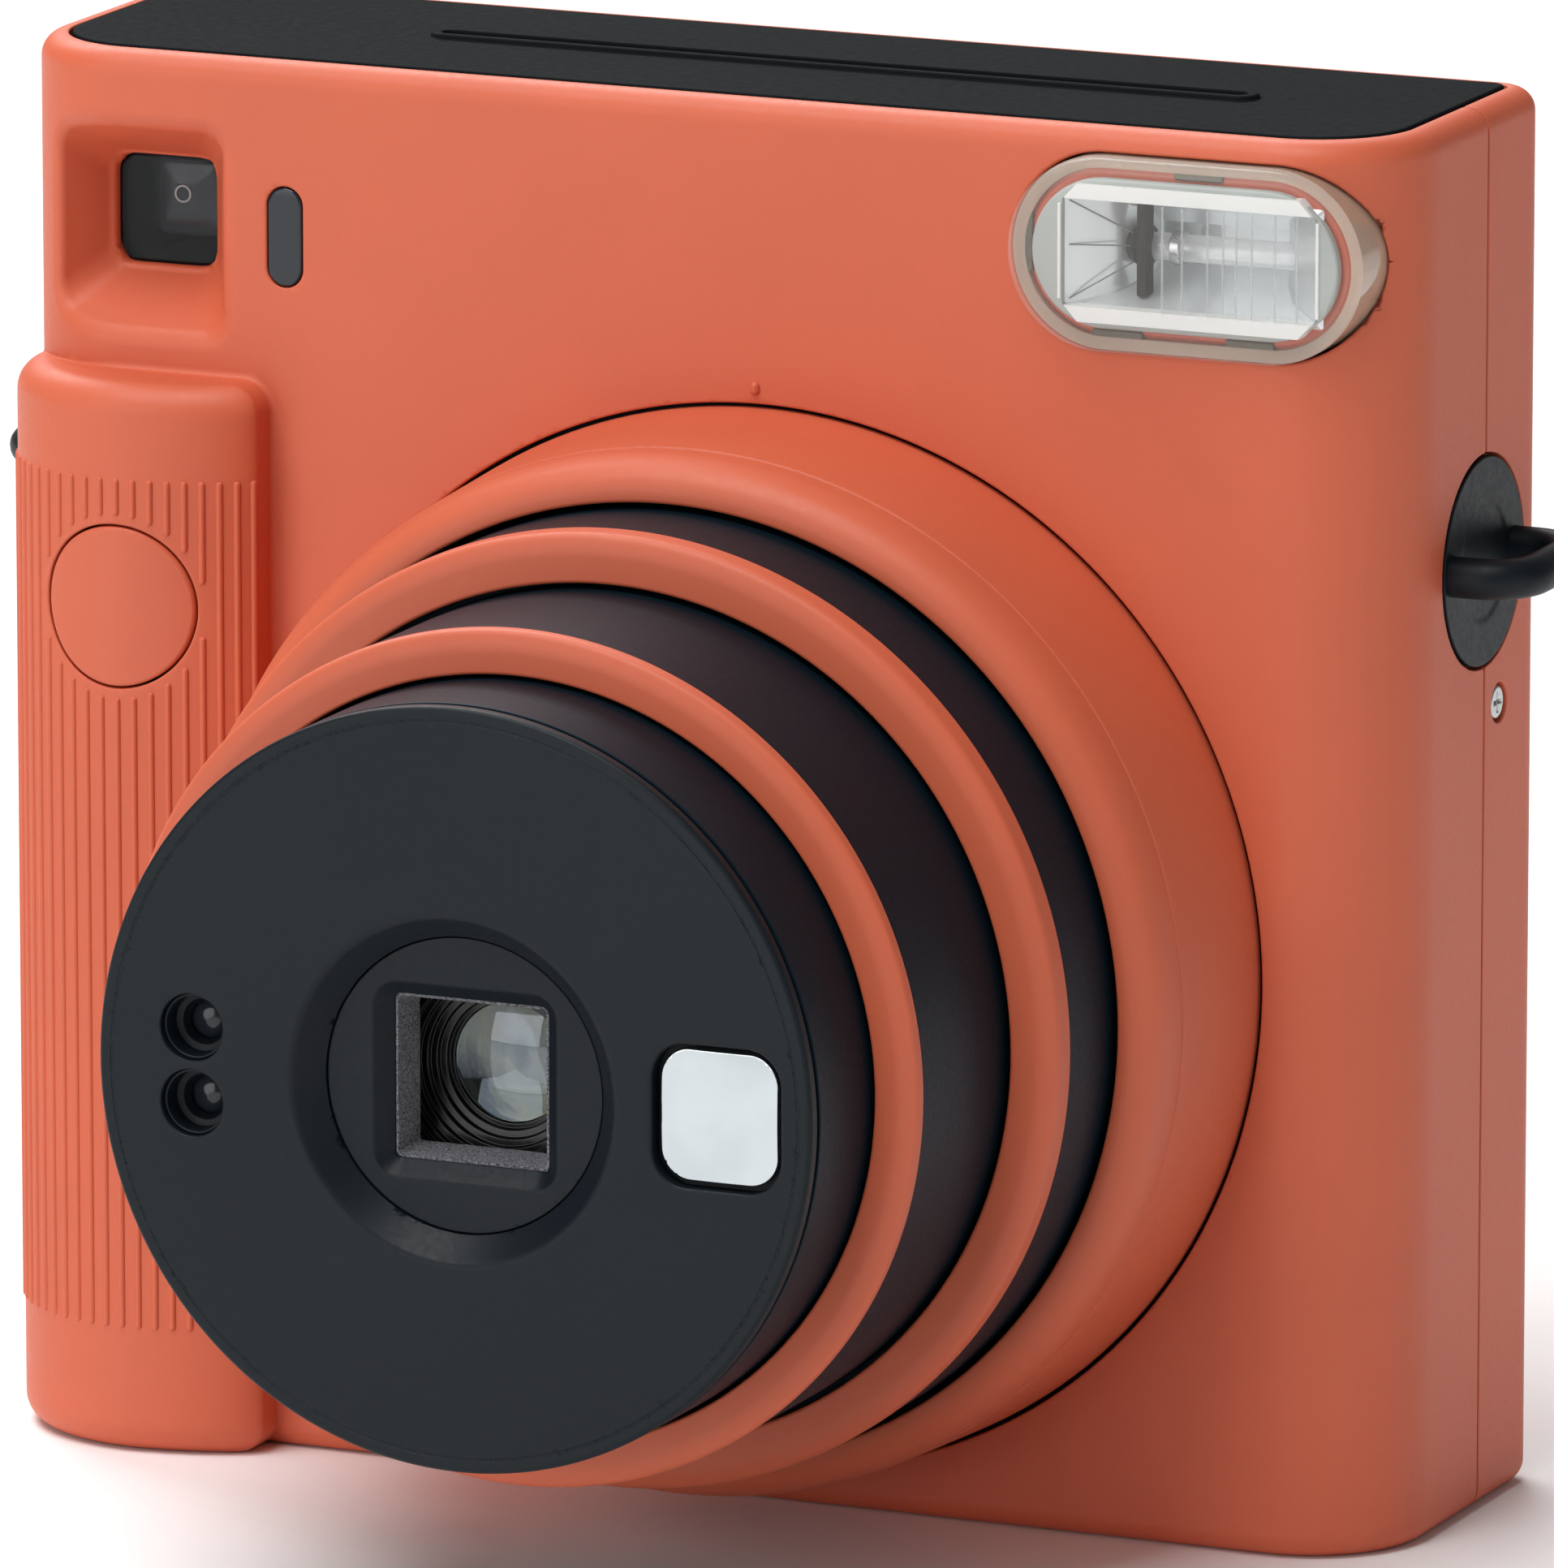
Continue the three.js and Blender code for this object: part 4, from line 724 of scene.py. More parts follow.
def back_cover(x, y, z):
    outer = body_box(x, y, z)
    cavity = both(outer + WALL, z - CEILING_Z, 0.4)
    shell = both(without(outer, cavity), PARTING_Y + GAP - y, 0.12)
    pin = np.hypot(x - HINGE_X, y - HINGE_Y)
    shell = either(shell, both(pin - 1.5, between(z, 8, 102), 0.2), 0.5)
    door = rect(x, z, -38.3, 57.9, 5.7, 104.3, 3)
    knuckle_room = rect(x, y, 57, 61.4, 16.8, 26, 0.3)
    through_wall = between(y, 10, 25)
    latch_centre = (LATCH_X, LATCH_Z - 1.5)
    head = np.hypot(y - SCREW_Y, z - SCREW_Z)
    screws = either(both(head - 1.75, HALF_WIDTH - 1.2 - np.abs(x)),
                    both(head - 1.1, HALF_WIDTH - 5 - np.abs(x)))
    return carve(shell, [
        (both(door, between(y, 10, 30)), 0.25),
        *[(both(knuckle_room, between(z, low - GAP, high + GAP)), 0.1) for low, high in HINGE_OPENS],
        (both(pin - 1.0, between(z, 7, 103)), 0),
        (top_pocket(x, y, z), 0.15),
        (roller_bay(x, y, z), 0),
        (both(np.hypot(x - FINDER_X, z - FINDER_Z) - 5.3, through_wall), 0.5),
        (both(centred(x, z, (COUNTER_X, COUNTER_Z), 8.3, 6.3, 1.5), through_wall), 0.3),
        (both(centred(x, z, latch_centre, 3, 7.6, 0.6), through_wall), 0.2),
        (both(centred(x, z, latch_centre, 5.8, 14.2, 1.6), 17.75 - y), 0.12),
        (screws, 0.15),
        (lug_recess(x, y, z), 0.12),
    ])


def top_plate(x, y, z):
    plate = both(body_plan(x, y) + 2.7, between(z, 121.2, 122.35), 0.25)
    lip = both(centred(x, y, (AXIS_X, -0.5), 77, 3.4, 1.69), between(z, 121.3, 122.8), 0.3)
    slot = both(centred(x, y, (AXIS_X, -0.5), 75, 1.7, 0.84), between(z, 120, 124))
    return without(either(plate, lip, 0.2), slot, 0.2)


def shutter_button(x, y, z):
    outer = body_outer(x, y, z) - 0.02
    pillar = both(np.hypot(x - BUTTON_X, z - BUTTON_Z) - BUTTON_RADIUS, y + 21.6)
    return both(outer, pillar, 0.28)


def film_door(x, y, z):
    panel = both(rect(x, z, -38, 57.6, 6, 104, 2.7), between(y, 14.7, 20.3), 1.2)
    panel = carve(both(panel, 16.2 - y), [
        (both(rect(x, z, -34.5, 54.1, 9.5, 100.5, 1), y - 18.3), 0),
        (both(rect(x, z, -32, 46, 14, 96, 6), 20.05 - y), 0.2),
        (both(centred(x, z, (AXIS_X, DOOR_WINDOW_Z), 16.3, 34.3, 3), between(y, 10, 25)), 0.35),
    ])
    pin = np.hypot(x - HINGE_X, y - HINGE_Y)
    for low, high in HINGE_OPENS:
        knuckle = both(pin - 1.5, between(z, low, high), 0.15)
        arm = both(rect(x, y, 55.6, HINGE_X, HINGE_Y - 1.1, HINGE_Y + 1.1, 0.1), between(z, low, high))
        panel = either(panel, either(knuckle, arm, 0.2), 0.2)
    return without(panel, pin - 1.0)


def battery_door(x, y, z):
    side_wall = both(rect(y, z, -13, 2.4, 5, 68, 0.5), x + HALF_WIDTH - 2)
    panel = both(body_outer(x, y, z), side_wall, 0.2)
    notch = both(np.hypot(y + 10.2, (z - 36.5) * 0.5) - 2.0, between(x, -70, -HALF_WIDTH + 0.45))
    panel = without(panel, notch, 0.3)
    hinge = np.hypot(x + 63.5, y - 2.4)
    barrel = both(hinge - 1.1, between(z, 5, 68), 0.1)
    pins = both(hinge - 0.6, between(z, 3.4, 69.6), 0.1)
    return either(panel, either(barrel, pins), 0.1)


def near_skin(x, y, z):
    return body_outer(x, y, z) > -1.6


def build_body():
    sculpt("front_cover_shell", front_cover, (-65, -25.5, 0), (65, 4, 122.3), 0.8, ORANGE,
           seen=near_skin, extra=ribs_and_mark(), replaces="front_cover")
    sculpt("back_cover_shell", back_cover, (-65, 4, 0), (65, 20.4, 122.3), 0.8, ORANGE,
           seen=near_skin, replaces="back_cover")
    sculpt("top_panel", top_plate, (-62.2, -15.6, 121), (62.2, 15.6, 123), 0.5, BLACK,
           finest=0.12, tolerance=0.008, replaces="top_plate")
    sculpt("release_button", shutter_button, (-57.6, -25.6, 67.9), (-43.2, -21.4, 82.3), 0.4, BUTTON_ORANGE,
           "shutter_button", finest=0.08, tolerance=0.004, replaces="shutter_button")
    sculpt("film_door_panel", film_door, (-38.2, 16, 5.8), (61.4, 20.5, 104.2), 0.6, ORANGE, "film_door",
           replaces="film_door")
    sculpt("battery_door_panel", battery_door, (-65, -13.2, 3), (-61, 3.8, 70), 0.5, ORANGE, "battery_door",
           replaces="battery_door")


# ---- Telescoping lens


def ring_of(front, back, outer, inner, fillet=0.15):
    return [(inner, front, fillet), (outer, front, fillet), (outer, back, fillet), (inner, back, fillet)]


def build_rings():
    spin("dial_ring", [
        (43.9, -17.2), (46.1, -17.2, 0.15), (46.05, -18.6, 0.1), (45.28, -32.2, 0.06), (45.12, -32.3, 0.05),
        (45.12, -32.5, 0.06), (45.2, -32.6, 0.1), (45.1, -34.4, 0.8), (44.5, -36.1, 1.0), (43.5, -37.1, 0.9),
        (42.5, -37.5, 0.5), (41.4, -37.5, 0.35), (41.4, -35.2), (43.9, -35.2)],
        ORANGE, "dial", replaces="lens_dial")
    spin("outer_tube", ring_of(-46.2, -33, 40.85, 39.6), BARREL, "outer_barrel", replaces="outer_barrel")
    spin("outer_cap_ring", [
        (36.8, -46.5), (36.8, -49.5, 0.35), (39.6, -49.5, 0.6), (41.05, -49.0, 0.7), (41.05, -46.5, 0.12)],
        ORANGE, "outer_barrel", replaces="outer_barrel_cap")
    spin("middle_tube", [
        (35.1, -66.2), (36.3, -66.2, 0.1), (36.3, -46.1), (39.2, -46.1, 0.1), (39.2, -45), (35.1, -45)],
        BARREL, "middle_barrel", replaces="middle_barrel")
    spin("middle_cap_ring", [
        (32.7, -66.5), (32.7, -68.2, 0.3), (35.0, -68.2, 0.5), (36.45, -67.75, 0.6), (36.45, -66.5, 0.12)],
        ORANGE, "middle_barrel", replaces="middle_barrel_cap")
    spin("front_tube", ring_of(-78.3, -57.5, DISC_RADIUS, 31.2), BARREL, "front_barrel",
         replaces="front_barrel")


def disc_face(x, y, z):
    u, v = x - AXIS_X, z - AXIS_Z
    radius = np.hypot(u, v)
    recess_depth = 2.4
    rim = both(radius - DISC_RADIUS, between(y, FRONT_Y, FRONT_Y + 1.5), 0.45)
    disc = either(rim, both(radius - 30.9, between(y, FRONT_Y, FRONT_Y + 3.7)))
    groove = both(np.abs(radius - 31.15) - 0.10, y - FRONT_Y - 0.05)
    disc = without(disc, groove, 0.05)
    slope = 2.1 / recess_depth
    cone = (radius - 14.7 + (y - FRONT_Y) * slope) / math.hypot(1, slope)
    recess = both(cone, y - FRONT_Y - recess_depth)
    disc = without(disc, either(recess, radius - 12.6), 0.3)
    for up in (1, -1):
        hole = np.hypot(u + EYE_OFFSET, v - SENSOR_RISE * up)
        disc = without(disc, hole - 2.85, 0.18)
    seat = both(centred(u, v, (EYE_OFFSET, 0), 11.6, 12.2, 3.1), y - FRONT_Y - 1.6)
    return without(disc, seat, 0.2)


def hood(x, y, z):
    """Round plate with a square throat that opens out towards the front."""
    u, v = x - AXIS_X, z - AXIS_Z
    plate = both(np.hypot(u, v) - 12.5, between(y, -77.6, -73), 0.12)
    half, flare_depth, widening = 7, 1.4, 1.35
    open_out = np.clip((-76.2 - y) / flare_depth, 0, 1.2) * widening
    throat = rect(u, v, -half, half, -half, half, 0.5)
    flare = rect(u, v, -half, half, -half, half, 0.9) - open_out
    flare = both(flare / math.hypot(1, widening / flare_depth), y + 76.15)
    return without(plate, either(throat, flare), 0.12)


def build_front():
    sculpt("disc_face", disc_face, (-25.5, FRONT_Y, 17.2), (39.5, -76.3, 82.2), 0.5, BLACK_FINE,
           "front_barrel", finest=0.1, tolerance=0.006, replaces="front_disc")
    sculpt("hood_plate", hood, (-5.4, -77.7, 37.3), (19.4, -73, 62.1), 0.4, BLACK_FINE, "front_barrel",
           finest=0.1, tolerance=0.006, replaces="lens_hood")
    square = []
    for side, corner, y in ((14.1, 0.5, -76.0), (13.5, 0.4, -76.1), (12.4, 0.3, -73.0), (14.1, 0.5, -72.9)):
        square += frontal_rings((AXIS_X, AXIS_Z), side, side, corner, [(0, y)])
    loft("hood_light_trap", square, FLOCK, "front_barrel", closed=True)
    cell = [(12, -59.5, 0.1), (12, -72.7, 0.15), (11.3, -72.7, 0.1)]
    for step in range(1, 5):
        radius, y = 11.3 - 0.42 * step, -72.7 + 0.34 * step
        cell += [(radius + 0.42, y, 0.06), (radius, y, 0.08)]
    cell += [(9.3, -71.1), (9.3, -59.5)]
    spin("lens_mount", cell, BLACK_FINE, "front_barrel", replaces="lens_cell", slot="black_inner")
    build_lens()
    build_mirror()
    build_sensors()


def build_lens():
    """Stepped retainer, front element, iris and the element behind it."""
    retainer = [(9.25, -70.6), (9.25, -71.2, 0.06)]
    for step in range(6):
        edge, level = 9.0 - 0.66 * step, -71.2 + 0.46 * step
        retainer += [(edge, level, 0.06), (edge - 0.12, level + 0.42, 0.05)]
    retainer += [(5.15, -68.5, 0.1), (5.1, -66.6), (9.25, -66.6)]
    spin("lens_retainer", retainer, BLACK_GLOSS, "front_barrel")
    curve, crown, radius = 15.0, -69.2, 5.05
    dome = [(0, crown)]
    dome += [(r, crown + curve - math.sqrt(curve ** 2 - r ** 2)) for r in np.linspace(0.3, radius, 18)]
    spin("front_element", dome + [(radius, -67.2), (0, -66.9)], FRONT_GLASS, "front_barrel", solid=True,
         segments=128, crease=60, replaces="front_lens")
    spin("second_element", [(0, -66.4), (2.5, -66.2), (4.6, -65.5), (5.6, -64.9), (5.6, -63.6), (0, -64.4)],
         INNER_GLASS, "front_barrel", solid=True, segments=96, crease=60)
    spin("iris_ring", [(9.2, -64.6), (9.2, -66.5), (5.9, -66.4, 0.2), (5.7, -64.4), (9.2, -64.4)], BARREL,
         "front_barrel", slot="black_inner")


def mirror_plate(x, y, z):
    """A slightly domed plate, so that its reflection widens."""
    u, v = x - AXIS_X - EYE_OFFSET, z - AXIS_Z
    face = MIRROR_Y + (u ** 2 + v ** 2) / 110
    return both(centred(u, v, (0, 0), 10.5, 11.1, 2.6), between(y, face, MIRROR_Y + 0.9), 0.12)


def build_mirror():
    sculpt("mirror_plate", mirror_plate, (AXIS_X + 18.4, MIRROR_Y, AXIS_Z - 5.7),
           (AXIS_X + 29.2, MIRROR_Y + 0.9, AXIS_Z + 5.7), 0.2, MIRROR, "front_barrel", finest=0.06,
           tolerance=0.002, replaces="selfie_mirror")


def build_sensors():
    for name, up in LEVELS:
        centre = (AXIS_X - EYE_OFFSET, AXIS_Z + SENSOR_RISE * up)
        spin(f"sensor_well_{name}", [
            (2.8, -76.5), (2.8, -79.5, 0.1), (2.55, -79.5, 0.1), (2.5, -77.7, 0.1), (1.95, -77.6, 0.08),
            (1.6, -76.9, 0.05), (1.6, -76.5)],
            BLACK_FINE, "front_barrel", centre=centre, segments=64,
            replaces=f"exposure_sensor_{name}", slot="black_inner")
        spin(f"sensor_eye_{name}", [(0, -77.1), (0.8, -77.0), (1.3, -76.8), (1.58, -76.55), (0, -76.5)],
             SENSOR_GLASS, "front_barrel", centre=centre, segments=48, solid=True)


# ---- Flash and viewfinder


def build_flash():
    centre = (FLASH_X, FLASH_Z)
    stadium = {"steps": 20, "across": 6}
    brim = FLASH_FACE + 2.2
    outside = edge_stations(0, FLASH_FACE, brim, 1.3)
    inside = [(1.9, FLASH_FACE + 1), (1.35, FLASH_FACE + 1.3), (1.1, FLASH_FACE + 1.9), (1.1, brim)]
    size = (FLASH_WIDTH, FLASH_HEIGHT, FLASH_HEIGHT / 2)
    shell = frontal_rings(centre, *size, outside + [(4, FLASH_FACE), (7, FLASH_FACE)], **stadium)
    lining = frontal_rings(centre, *size, [(7, FLASH_FACE + 1), (4, FLASH_FACE + 1)] + inside, **stadium)
    loft("flash_cover", lining + shell, CLEAR, replaces="flash_window")
    rim = frontal_rings(centre, *size, [(0, -12.9), (0, brim + 0.02)], **stadium)
    rim += frontal_rings(centre, *size, [(1.1, brim + 0.02), (1.1, -12.9)], **stadium)
    loft("flash_rim", rim, RIM_CLEAR, closed=True)
    build_flash_seat(centre, stadium)
    build_reflector()
    build_lamp()


def build_flash_seat(centre, stadium):
    """What shows through the clear rim: the orange seat, dark clips, the grey plate and its white bars."""
    outer = frontal_rings(centre, 29.5, 14.3, 7.15, [(0, -12.0), (0, -17.7), (0.3, -18.0)], **stadium)
    inner = frontal_rings(centre, 27.4, 12.4, 6.2, [(0, -18.0), (0, -12.0)], **stadium)
    loft("flash_seat", outer + inner, ORANGE, closed=True)
    clips = [(0.9, 7.0, 4.4, 0.8), (-6.4, -7.0, 4.6, 0.8), (5.6, -7.0, 4.4, 0.8), (-14.5, 0.3, 0.8, 5.0)]
    for number, (x, z, width, height) in enumerate(clips):
        slab(f"flash_clip_{number}", (FLASH_X + x, FLASH_Z + z), (width, height, 0.2),
             edge_stations(0, FLASH_FACE + 2.3, FLASH_FACE + 4.5, 0.15, 3), CLIP)
    plate_y = FLASH_FACE + 1.45
    plate_edge = [(0, plate_y + 0.9)] + edge_stations(0, plate_y, plate_y + 0.5, 0.25)
    outer = frontal_rings(centre, 27.8, 12.8, 6.4, plate_edge)
    inner = frontal_rings((LAMP_X, FLASH_Z), 23.0, 9.3, 0.3, [(0, plate_y), (0, plate_y + 0.9)])
    loft("flash_plate", outer + inner, PLATE_GREY, closed=True, replaces="flash_frame")
    for name, up in LEVELS:
        outline = [(-11.3, 4.6), (11.3, 4.6), (10.1, 5.9), (-10.1, 5.9)]
        rings = [[(LAMP_X + u * k, y, FLASH_Z + up * v) for u, v in outline]
                 for k, y in ((1.0, plate_y + 1.5), (1.0, plate_y - 0.15), (0.99, plate_y - 0.3))]
        loft(f"flash_bar_{name}", rings, WHITE)
    for name, x in (("left", -11.7), ("right", 11.7)):
        slab(f"flash_edge_{name}", (LAMP_X + x, FLASH_Z), (0.3, 8.2, 0.1),
             edge_stations(0, plate_y - 0.2, plate_y + 1, 0.08, 3), WHITE)


def build_reflector():
    """A trough with flat facets, which narrows towards its floor."""
    stations = [(23.1, 9.4, -18.6), (20.4, 9.0, -17.0), (15.8, 7.8, -14.8), (12.8, 5.6, -12.4),
                (11.6, 3.0, -10.3)]
    rings = []
    for grown, order in ((0.0, stations), (0.8, stations[::-1])):
        for width, height, y in order:
            rings += frontal_rings((LAMP_X, FLASH_Z), width + grown, height + grown, 0.25,
                                   [(0, y + grown * 0.3)], steps=4)
    loft("flash_trough", rings, REFLECTOR, closed=True, crease=14, replaces="flash_reflector")
    slab("flash_trough_floor", (LAMP_X, FLASH_Z), (11.8, 3.2, 0.25), [(0, -9.9), (0, -10.3)], REFLECTOR)
    for number, z in enumerate((-4.2, 0.4, 4.2)):
        start, end = (LAMP_X - 11.2, -18.2, FLASH_Z + z), (LAMP_X - 6.6, -15.3, FLASH_Z + z * 0.3)
        sweep(f"reflector_seam_{number}", np.linspace(start, end, 5), 0.07, SEAM, sides=8)


def build_lamp():
    lamp_y, lamp_z = centre_of("flash_tube")[1:]
    left, right = LAMP_X - 6.0, LAMP_X + 9.6
    lamp = {"centre": (lamp_y, lamp_z), "along": "x", "segments": 48}
    spin("lamp_tube", [(0, left), (0.9, left), (1.2, left + 0.5, 0.3), (1.2, right - 0.5, 0.3), (0.9, right),
                       (0, right)], TUBE_GLASS, solid=True, replaces="flash_tube", **lamp)
    for side, end in (("left", LAMP_X - 3.4), ("right", LAMP_X + 8.6)):
        spin(f"lamp_band_{side}", [(1.22, end), (1.5, end, 0.1), (1.5, end + 0.9, 0.1), (1.22, end + 0.9)],
             STEEL, **lamp)
    spin("lamp_socket", [(0, left - 1.5), (1.1, left - 1.5, 0.3), (1.75, left - 0.6, 0.3),
                         (1.75, left + 0.5, 0.2), (0, left + 0.5)],
         INNER_BLACK, solid=True, **lamp)
    slab("lamp_bracket", (LAMP_X - 5.5, FLASH_Z), (0.9, 8.0, 0.2), edge_stations(0, -16.2, -14.6, 0.15, 3),
         INNER_BLACK)
    for number, offset in enumerate((-2.2, -0.4, 1.9, 3.3, 4.5, 5.9, 8.0, 10.0)):
        slab(f"flash_prism_{number}", (LAMP_X + offset, FLASH_Z), (0.16, 9.0, 0.05),
             [(0, FLASH_FACE + 1.15), (0, FLASH_FACE + 0.98)], PRISM_CLEAR, steps=2)


def build_finder():
    centre = (FINDER_X, FINDER_Z)
    stations = edge_stations(0, FINDER_Y, FINDER_Y + 1, 0.2) + [(2.5, FINDER_Y)]
    slab("finder_window", centre, (9.2, 9.2, 1.5), stations, FINDER_GLASS, replaces="viewfinder_window")
    lens_y = FINDER_Y + 3.2
    stations = [(0, lens_y + 0.8)]
    stations += [(3.2 * t, lens_y - 0.7 * (1 - (1 - t) ** 2)) for t in np.linspace(0, 1, 8)]
    slab("finder_lens", (FINDER_X + 0.5, FINDER_Z + 0.9), (7.2, 7.2, 1.6), stations, FINDER_LENS)
    spin("finder_target", ring_of(lens_y - 0.85, lens_y - 0.75, 0.78, 0.62, 0), WHITE,
         centre=(FINDER_X + 0.2, FINDER_Z + 1.0), segments=48)
    stations = edge_stations(0, -HALF_DEPTH, -15.2, 0.25) + [(0.8, -HALF_DEPTH - 0.02)]
    slab("sensor_glass", (PILL_X, PILL_Z), (3.2, 8.6, 1.59), stations, SENSOR_GLASS,
         replaces="light_sensor_window")
    spin("eyepiece_ring", [(3.4, 15.6), (3.4, 17.6, 0.2), (4.2, 18.7, 0.4), (5.0, 18.6, 0.3), (5.0, 15.6)],
         BLACK, centre=centre, segments=96, replaces="viewfinder_eyepiece", slot="black_inner")
    spin("eyepiece_lens", [(0, 17.7), (1.8, 17.6), (3.35, 17.1), (3.35, 16.2), (0, 16.0)], TUBE_GLASS,
         centre=centre, segments=72, solid=True)


# ---- Straps, screws, door fittings and what shows inside


def build_lugs():
    outside = HALF_WIDTH + 0.1
    reach = outside + 5.95
    for name, side in SIDES:
        turned = [(0, outside - 3.9), (3.9, outside - 3.9), (4.0, outside - 1.0), (9.0, outside - 1.0),
                  (9.0, outside, 0.15), (5.4, outside - 0.02, 0.3), (4.9, outside - 0.14, 0.3),
                  (0, outside - 0.14)]
        spin(f"lug_disc_{name}", [(r, side * x, *f) for r, x, *f in turned], BLACK_FINE,
             centre=(LUG_Y, LUG_Z), along="x", segments=128, solid=True, replaces=f"strap_lug_{name}")
        legs, corner, rod_radius = LUG_LEG, 4.0, 1.75
        arc = np.linspace(0, math.pi / 2, 9)
        start = outside - 0.7
        path = [(x, -legs) for x in np.linspace(start, reach - corner, 4)]
        path += [(reach - corner + corner * math.sin(t), -legs + corner * (1 - math.cos(t))) for t in arc[1:]]
        path += [(reach, y) for y in np.linspace(-legs + corner, legs - corner, 4)[1:]]
        path += [(reach - corner * (1 - math.cos(t)), legs - corner * (1 - math.sin(t))) for t in arc[1:]]
        path += [(x, legs) for x in np.linspace(reach - corner, start, 4)[1:]]
        points = [(side * x, LUG_Y + y, LUG_Z) for x, y in path]
        sweep(f"lug_loop_{name}", points, rod_radius, BLACK_FINE, sides=28)


def screw_head(x, y, z):
    u, v, w = np.abs(x) - HALF_WIDTH + 0.15, y - SCREW_Y, z - SCREW_Z
    head = both(np.hypot(v, w) - 1.45, between(u, -0.7, 0), 0.25)
    shank = both(np.hypot(v, w) - 0.8, between(u, -4, -0.5))
    long_v, long_w = [np.maximum(np.abs(a) - 0.9, np.abs(b) - 0.2) for a, b in ((v, w), (w, v))]
    cross = np.minimum(long_v, long_w)
    taper = both(cross + np.maximum(-u, 0) * 0.3, -0.55 - u)
    return without(either(head, shank), taper, 0.06)


def build_fittings():
    for name, side in SIDES:
        ends = sorted((side * (HALF_WIDTH - 4.3), side * HALF_WIDTH))
        sculpt(f"case_screw_{name}", screw_head, (ends[0], 6, 68.7), (ends[1], 9.2, 71.9), 0.14, SCREW_STEEL,
               finest=0.05, tolerance=0.004, replaces=f"cover_screw_{name}")
    slab("door_window", (AXIS_X, DOOR_WINDOW_Z), (15.7, 33.7, 2.7),
         [(0, 18.6), (0, 19.9), (0.1, 20.05), (0.25, 20.1)], TINTED, "film_door", replaces="film_window")
    build_latch()
    slab("counter_glass", (COUNTER_X, COUNTER_Z), (7.7, 5.7, 1.2),
         [(0, 16.2), (0, 17.9), (0.1, 18.05), (0.3, 18.1)], TUBE_GLASS, replaces="counter_window",
         slot="clear_plastic")
    dial_x, _, dial_z = centre_of("counter_dial")
    spin("counter_disc", [(0, 11.4), (1.2, 11.4), (1.2, 13.4), (7.5, 13.4, 0.1), (7.5, 14.6, 0.1), (0, 14.6)],
         WHITE, "counter_dial", centre=(dial_x, dial_z), segments=96, solid=True, replaces="counter_dial")
    for number in range(11):
        angle = math.radians(90 + 30 * number)
        at = (dial_x + 5.4 * math.cos(angle), dial_z + 5.4 * math.sin(angle))
        spin(f"counter_dot_{number}", [(0, 14.5), (0.55, 14.5), (0.55, 14.68, 0.05), (0, 14.68)], INNER_BLACK,
             "counter_dial", centre=at, segments=24, solid=True)


def build_latch():
    centre = (LATCH_X, LATCH_Z)
    face = box_mm("door_latch")[1][1]
    slab("latch_knob", centre, (4.4, 9, 1.2), [(0, 18.3), (0, face - 0.5), (0.15, face - 0.15), (0.5, face)],
         BLACK_FINE, "door_latch", replaces="door_latch")
    for number in range(5):
        slab(f"latch_ridge_{number}", (LATCH_X, LATCH_Z - 3 + 1.5 * number), (3.2, 0.5, 0.2),
             [(0, face - 0.3), (0, face + 0.02), (0.12, face + 0.14)], BLACK_FINE, "door_latch")
    slab("latch_foot", centre, (6, 10, 0.4), [(0, 14.0), (0, 15.4)], BLACK_FINE, "door_latch")
    slab("latch_stem", centre, (2.4, 4, 0.3), [(0, 15.3), (0, 18.4)], BLACK_FINE, "door_latch")


def build_cells():
    for name in ("lower", "upper"):
        low, high = box_mm(f"battery_{name}")
        x, y, _ = (low + high) / 2
        base, tip = low[2], high[2]
        spin(f"cell_{name}", [
            (0, base), (6.4, base, 0.3), (7.2, base + 0.3, 0.2), (7.8, base + 0.5, 0.4),
            (7.8, tip - 1.6, 0.4), (6.9, tip - 1.15, 0.3), (3.2, tip - 1.1, 0.2), (2.9, tip, 0.3), (0, tip)],
            JACKET, centre=(x, y), along="z", segments=96, solid=True, replaces=f"battery_{name}")


CARRIED = [
    (INNER_BLACK, ["chassis", "dark_chamber", "battery_holder", "viewfinder_tube", "shutter_switch",
                   "lens_base", "cam_ring", "focus_carrier", "shutter_blade_upper", "shutter_blade_lower"]),
    (STEEL, ["motor", "door_hinge_pin", "film_spring", "front_roller", "rear_roller", "film_claw"]),
    (BRASS, ["battery_contact_lower", "battery_contact_upper", "motor_pinion"]),
    (BOARD, ["circuit_board"]),
    (JACKET, ["flash_capacitor"]),
    (INNER_GLASS, ["rear_lens"]),
    (WHITE, ["drive_gear"]),
]


def dress_carried_nodes():
    """Frame nodes that keep their shape get a worked material and softened edges."""
    for finish, nodes in CARRIED:
        for node in nodes:
            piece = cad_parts[node]
            piece.data.materials.clear()
            piece.data.materials.append(finish.material)
            edge = piece.modifiers.new("softened_edges", "BEVEL")
            edge.width = 0.12 * MM
            edge.segments = 2
            edge.limit_method = "ANGLE"
            edge.angle_limit = math.radians(40)
            edge.harden_normals = False


# ---- Stage


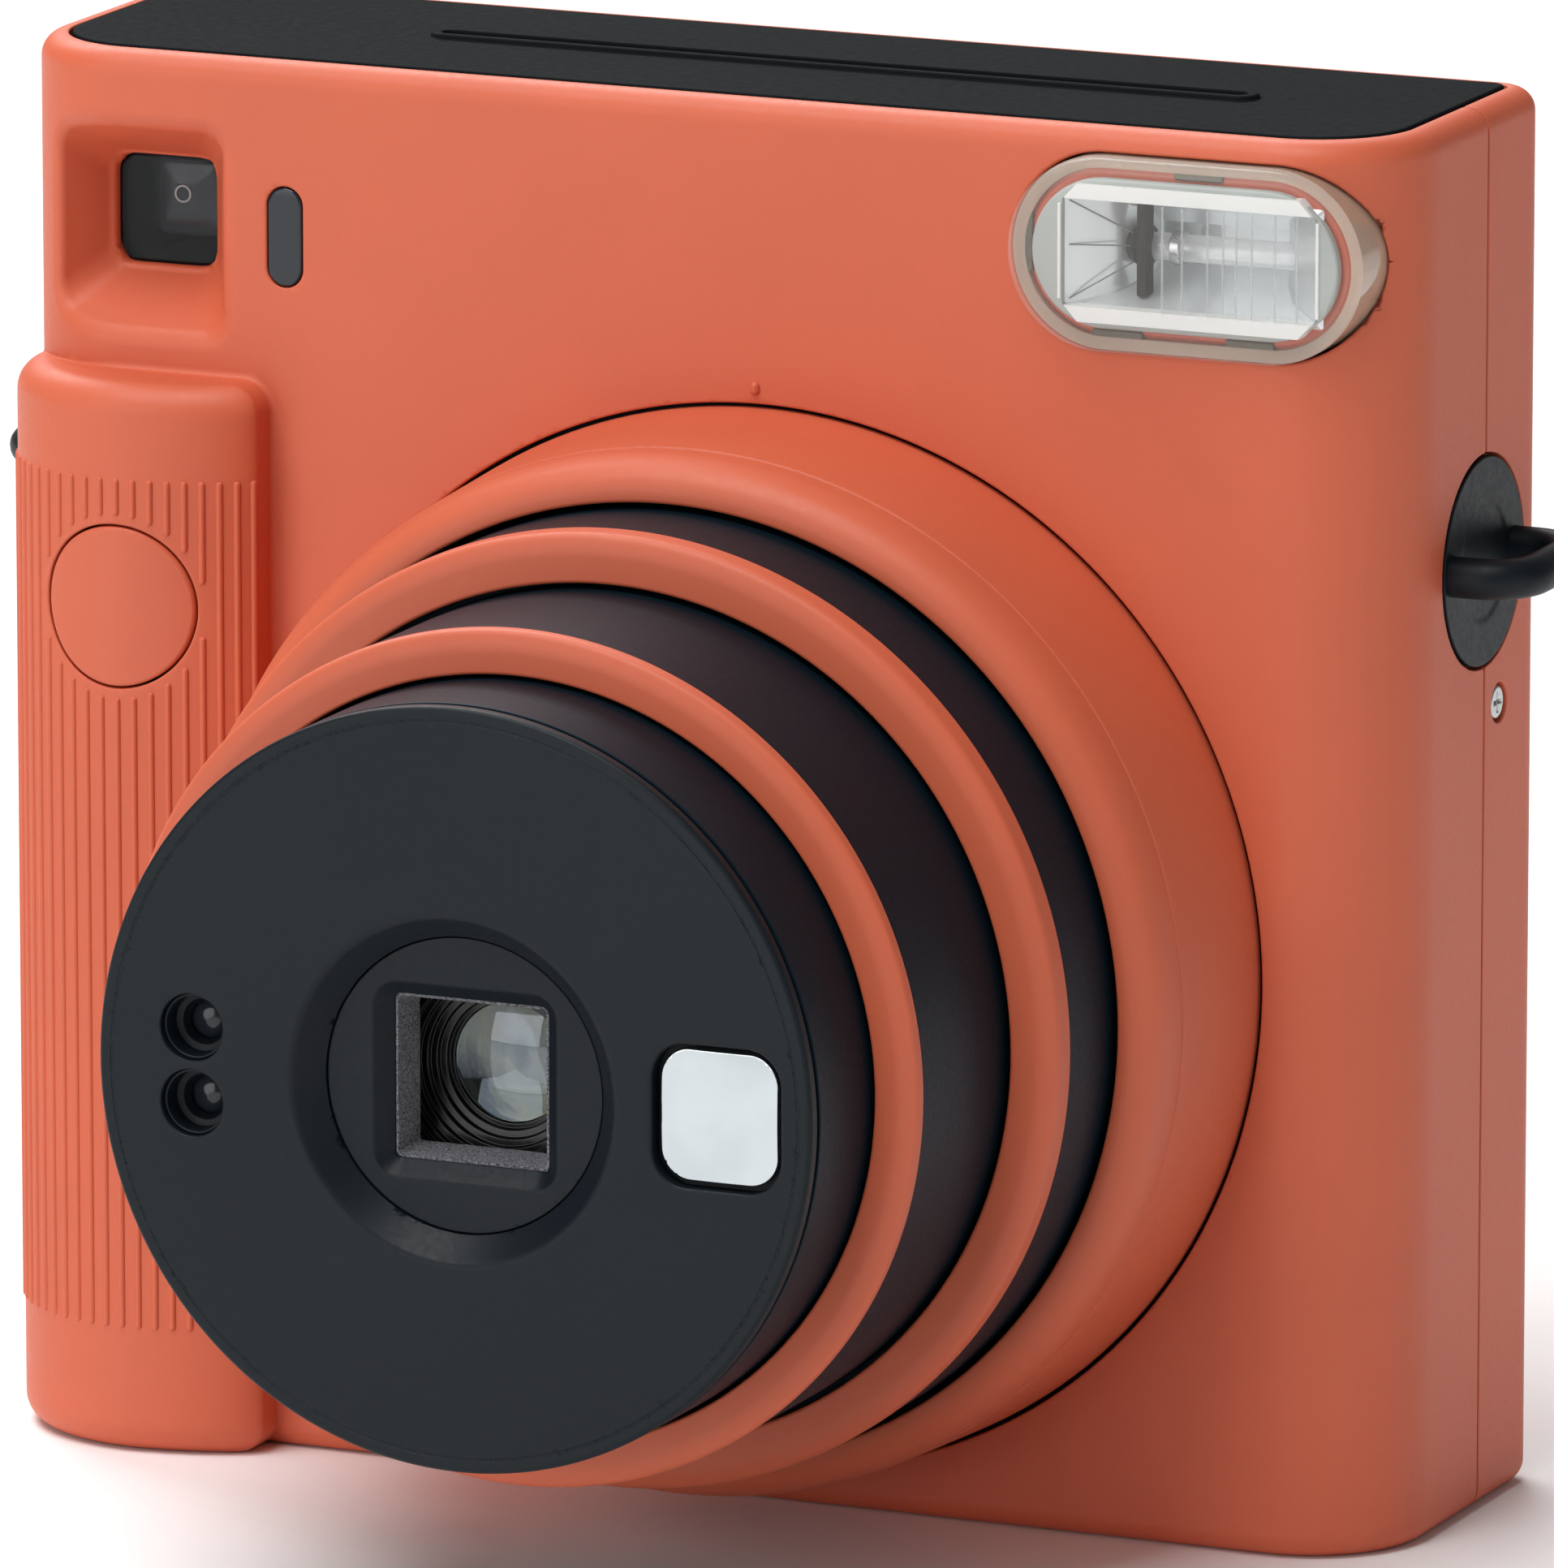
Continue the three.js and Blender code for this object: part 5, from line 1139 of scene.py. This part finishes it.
def add_camera():
    azimuth, elevation = math.radians(23.92), math.radians(12.43)
    distance = 1.5476
    target = Vector((5.18, -10.0, 61.40)) * MM
    away = Vector((math.sin(azimuth) * math.cos(elevation), -math.cos(azimuth) * math.cos(elevation),
                   math.sin(elevation)))
    data = bpy.data.cameras.new("camera")
    data.lens = 414.7
    data.clip_end = 20
    camera = bpy.data.objects.new("camera", data)
    camera.location = target + away * distance
    camera.rotation_euler = (-away).to_track_quat("-Z", "Y").to_euler()
    bpy.context.scene.collection.objects.link(camera)
    bpy.context.scene.camera = camera


def add_light(name, place, size, power, aim=(0, 0, 0.06)):
    data = bpy.data.lights.new(name, "AREA")
    data.shape = "RECTANGLE"
    data.size, data.size_y = size
    data.energy = power
    light = bpy.data.objects.new(name, data)
    light.location = place
    light.rotation_euler = (Vector(aim) - Vector(place)).to_track_quat("-Z", "Y").to_euler()
    bpy.context.scene.collection.objects.link(light)


def add_stage():
    half = 4.0
    mesh = bpy.data.meshes.new("floor")
    corners = [(-half, -half, 0), (half, -half, 0), (half, half, 0), (-half, half, 0)]
    mesh.from_pydata(corners, [], [(0, 1, 2, 3)])
    floor = bpy.data.objects.new("floor", mesh)
    bpy.context.scene.collection.objects.link(floor)
    paper = moulded("floor_paper", (0.94, 0.94, 0.94), 0.7, 4, 0.02, 0.2, 0.01)
    mesh.materials.append(paper.material)
    world = bpy.data.worlds.new("studio")
    world.use_nodes = True
    sky = world.node_tree.nodes["Background"].inputs
    sky["Color"].default_value = (1.0, 1.0, 1.0, 1)
    sky["Strength"].default_value = 0.15
    bpy.context.scene.world = world
    add_light("key", (-0.2, -0.5, 1.3), (0.9, 0.8), 15)
    add_light("front_fill", (-0.8, -1.9, 0.6), (1.6, 1.2), 14)
    add_light("side_fill", (1.7, -0.9, 0.5), (0.8, 1.0), 2)
    add_light("backdrop_wash", (-1.3, 1.5, 1.8), (1.8, 1.5), 56, aim=(-0.7, 1.1, 0))
    bpy.context.scene.view_settings.view_transform = "Standard"


build_body()
build_rings()
build_front()
build_flash()
build_finder()
build_lugs()
build_fittings()
build_cells()
dress_carried_nodes()
add_camera()
add_stage()
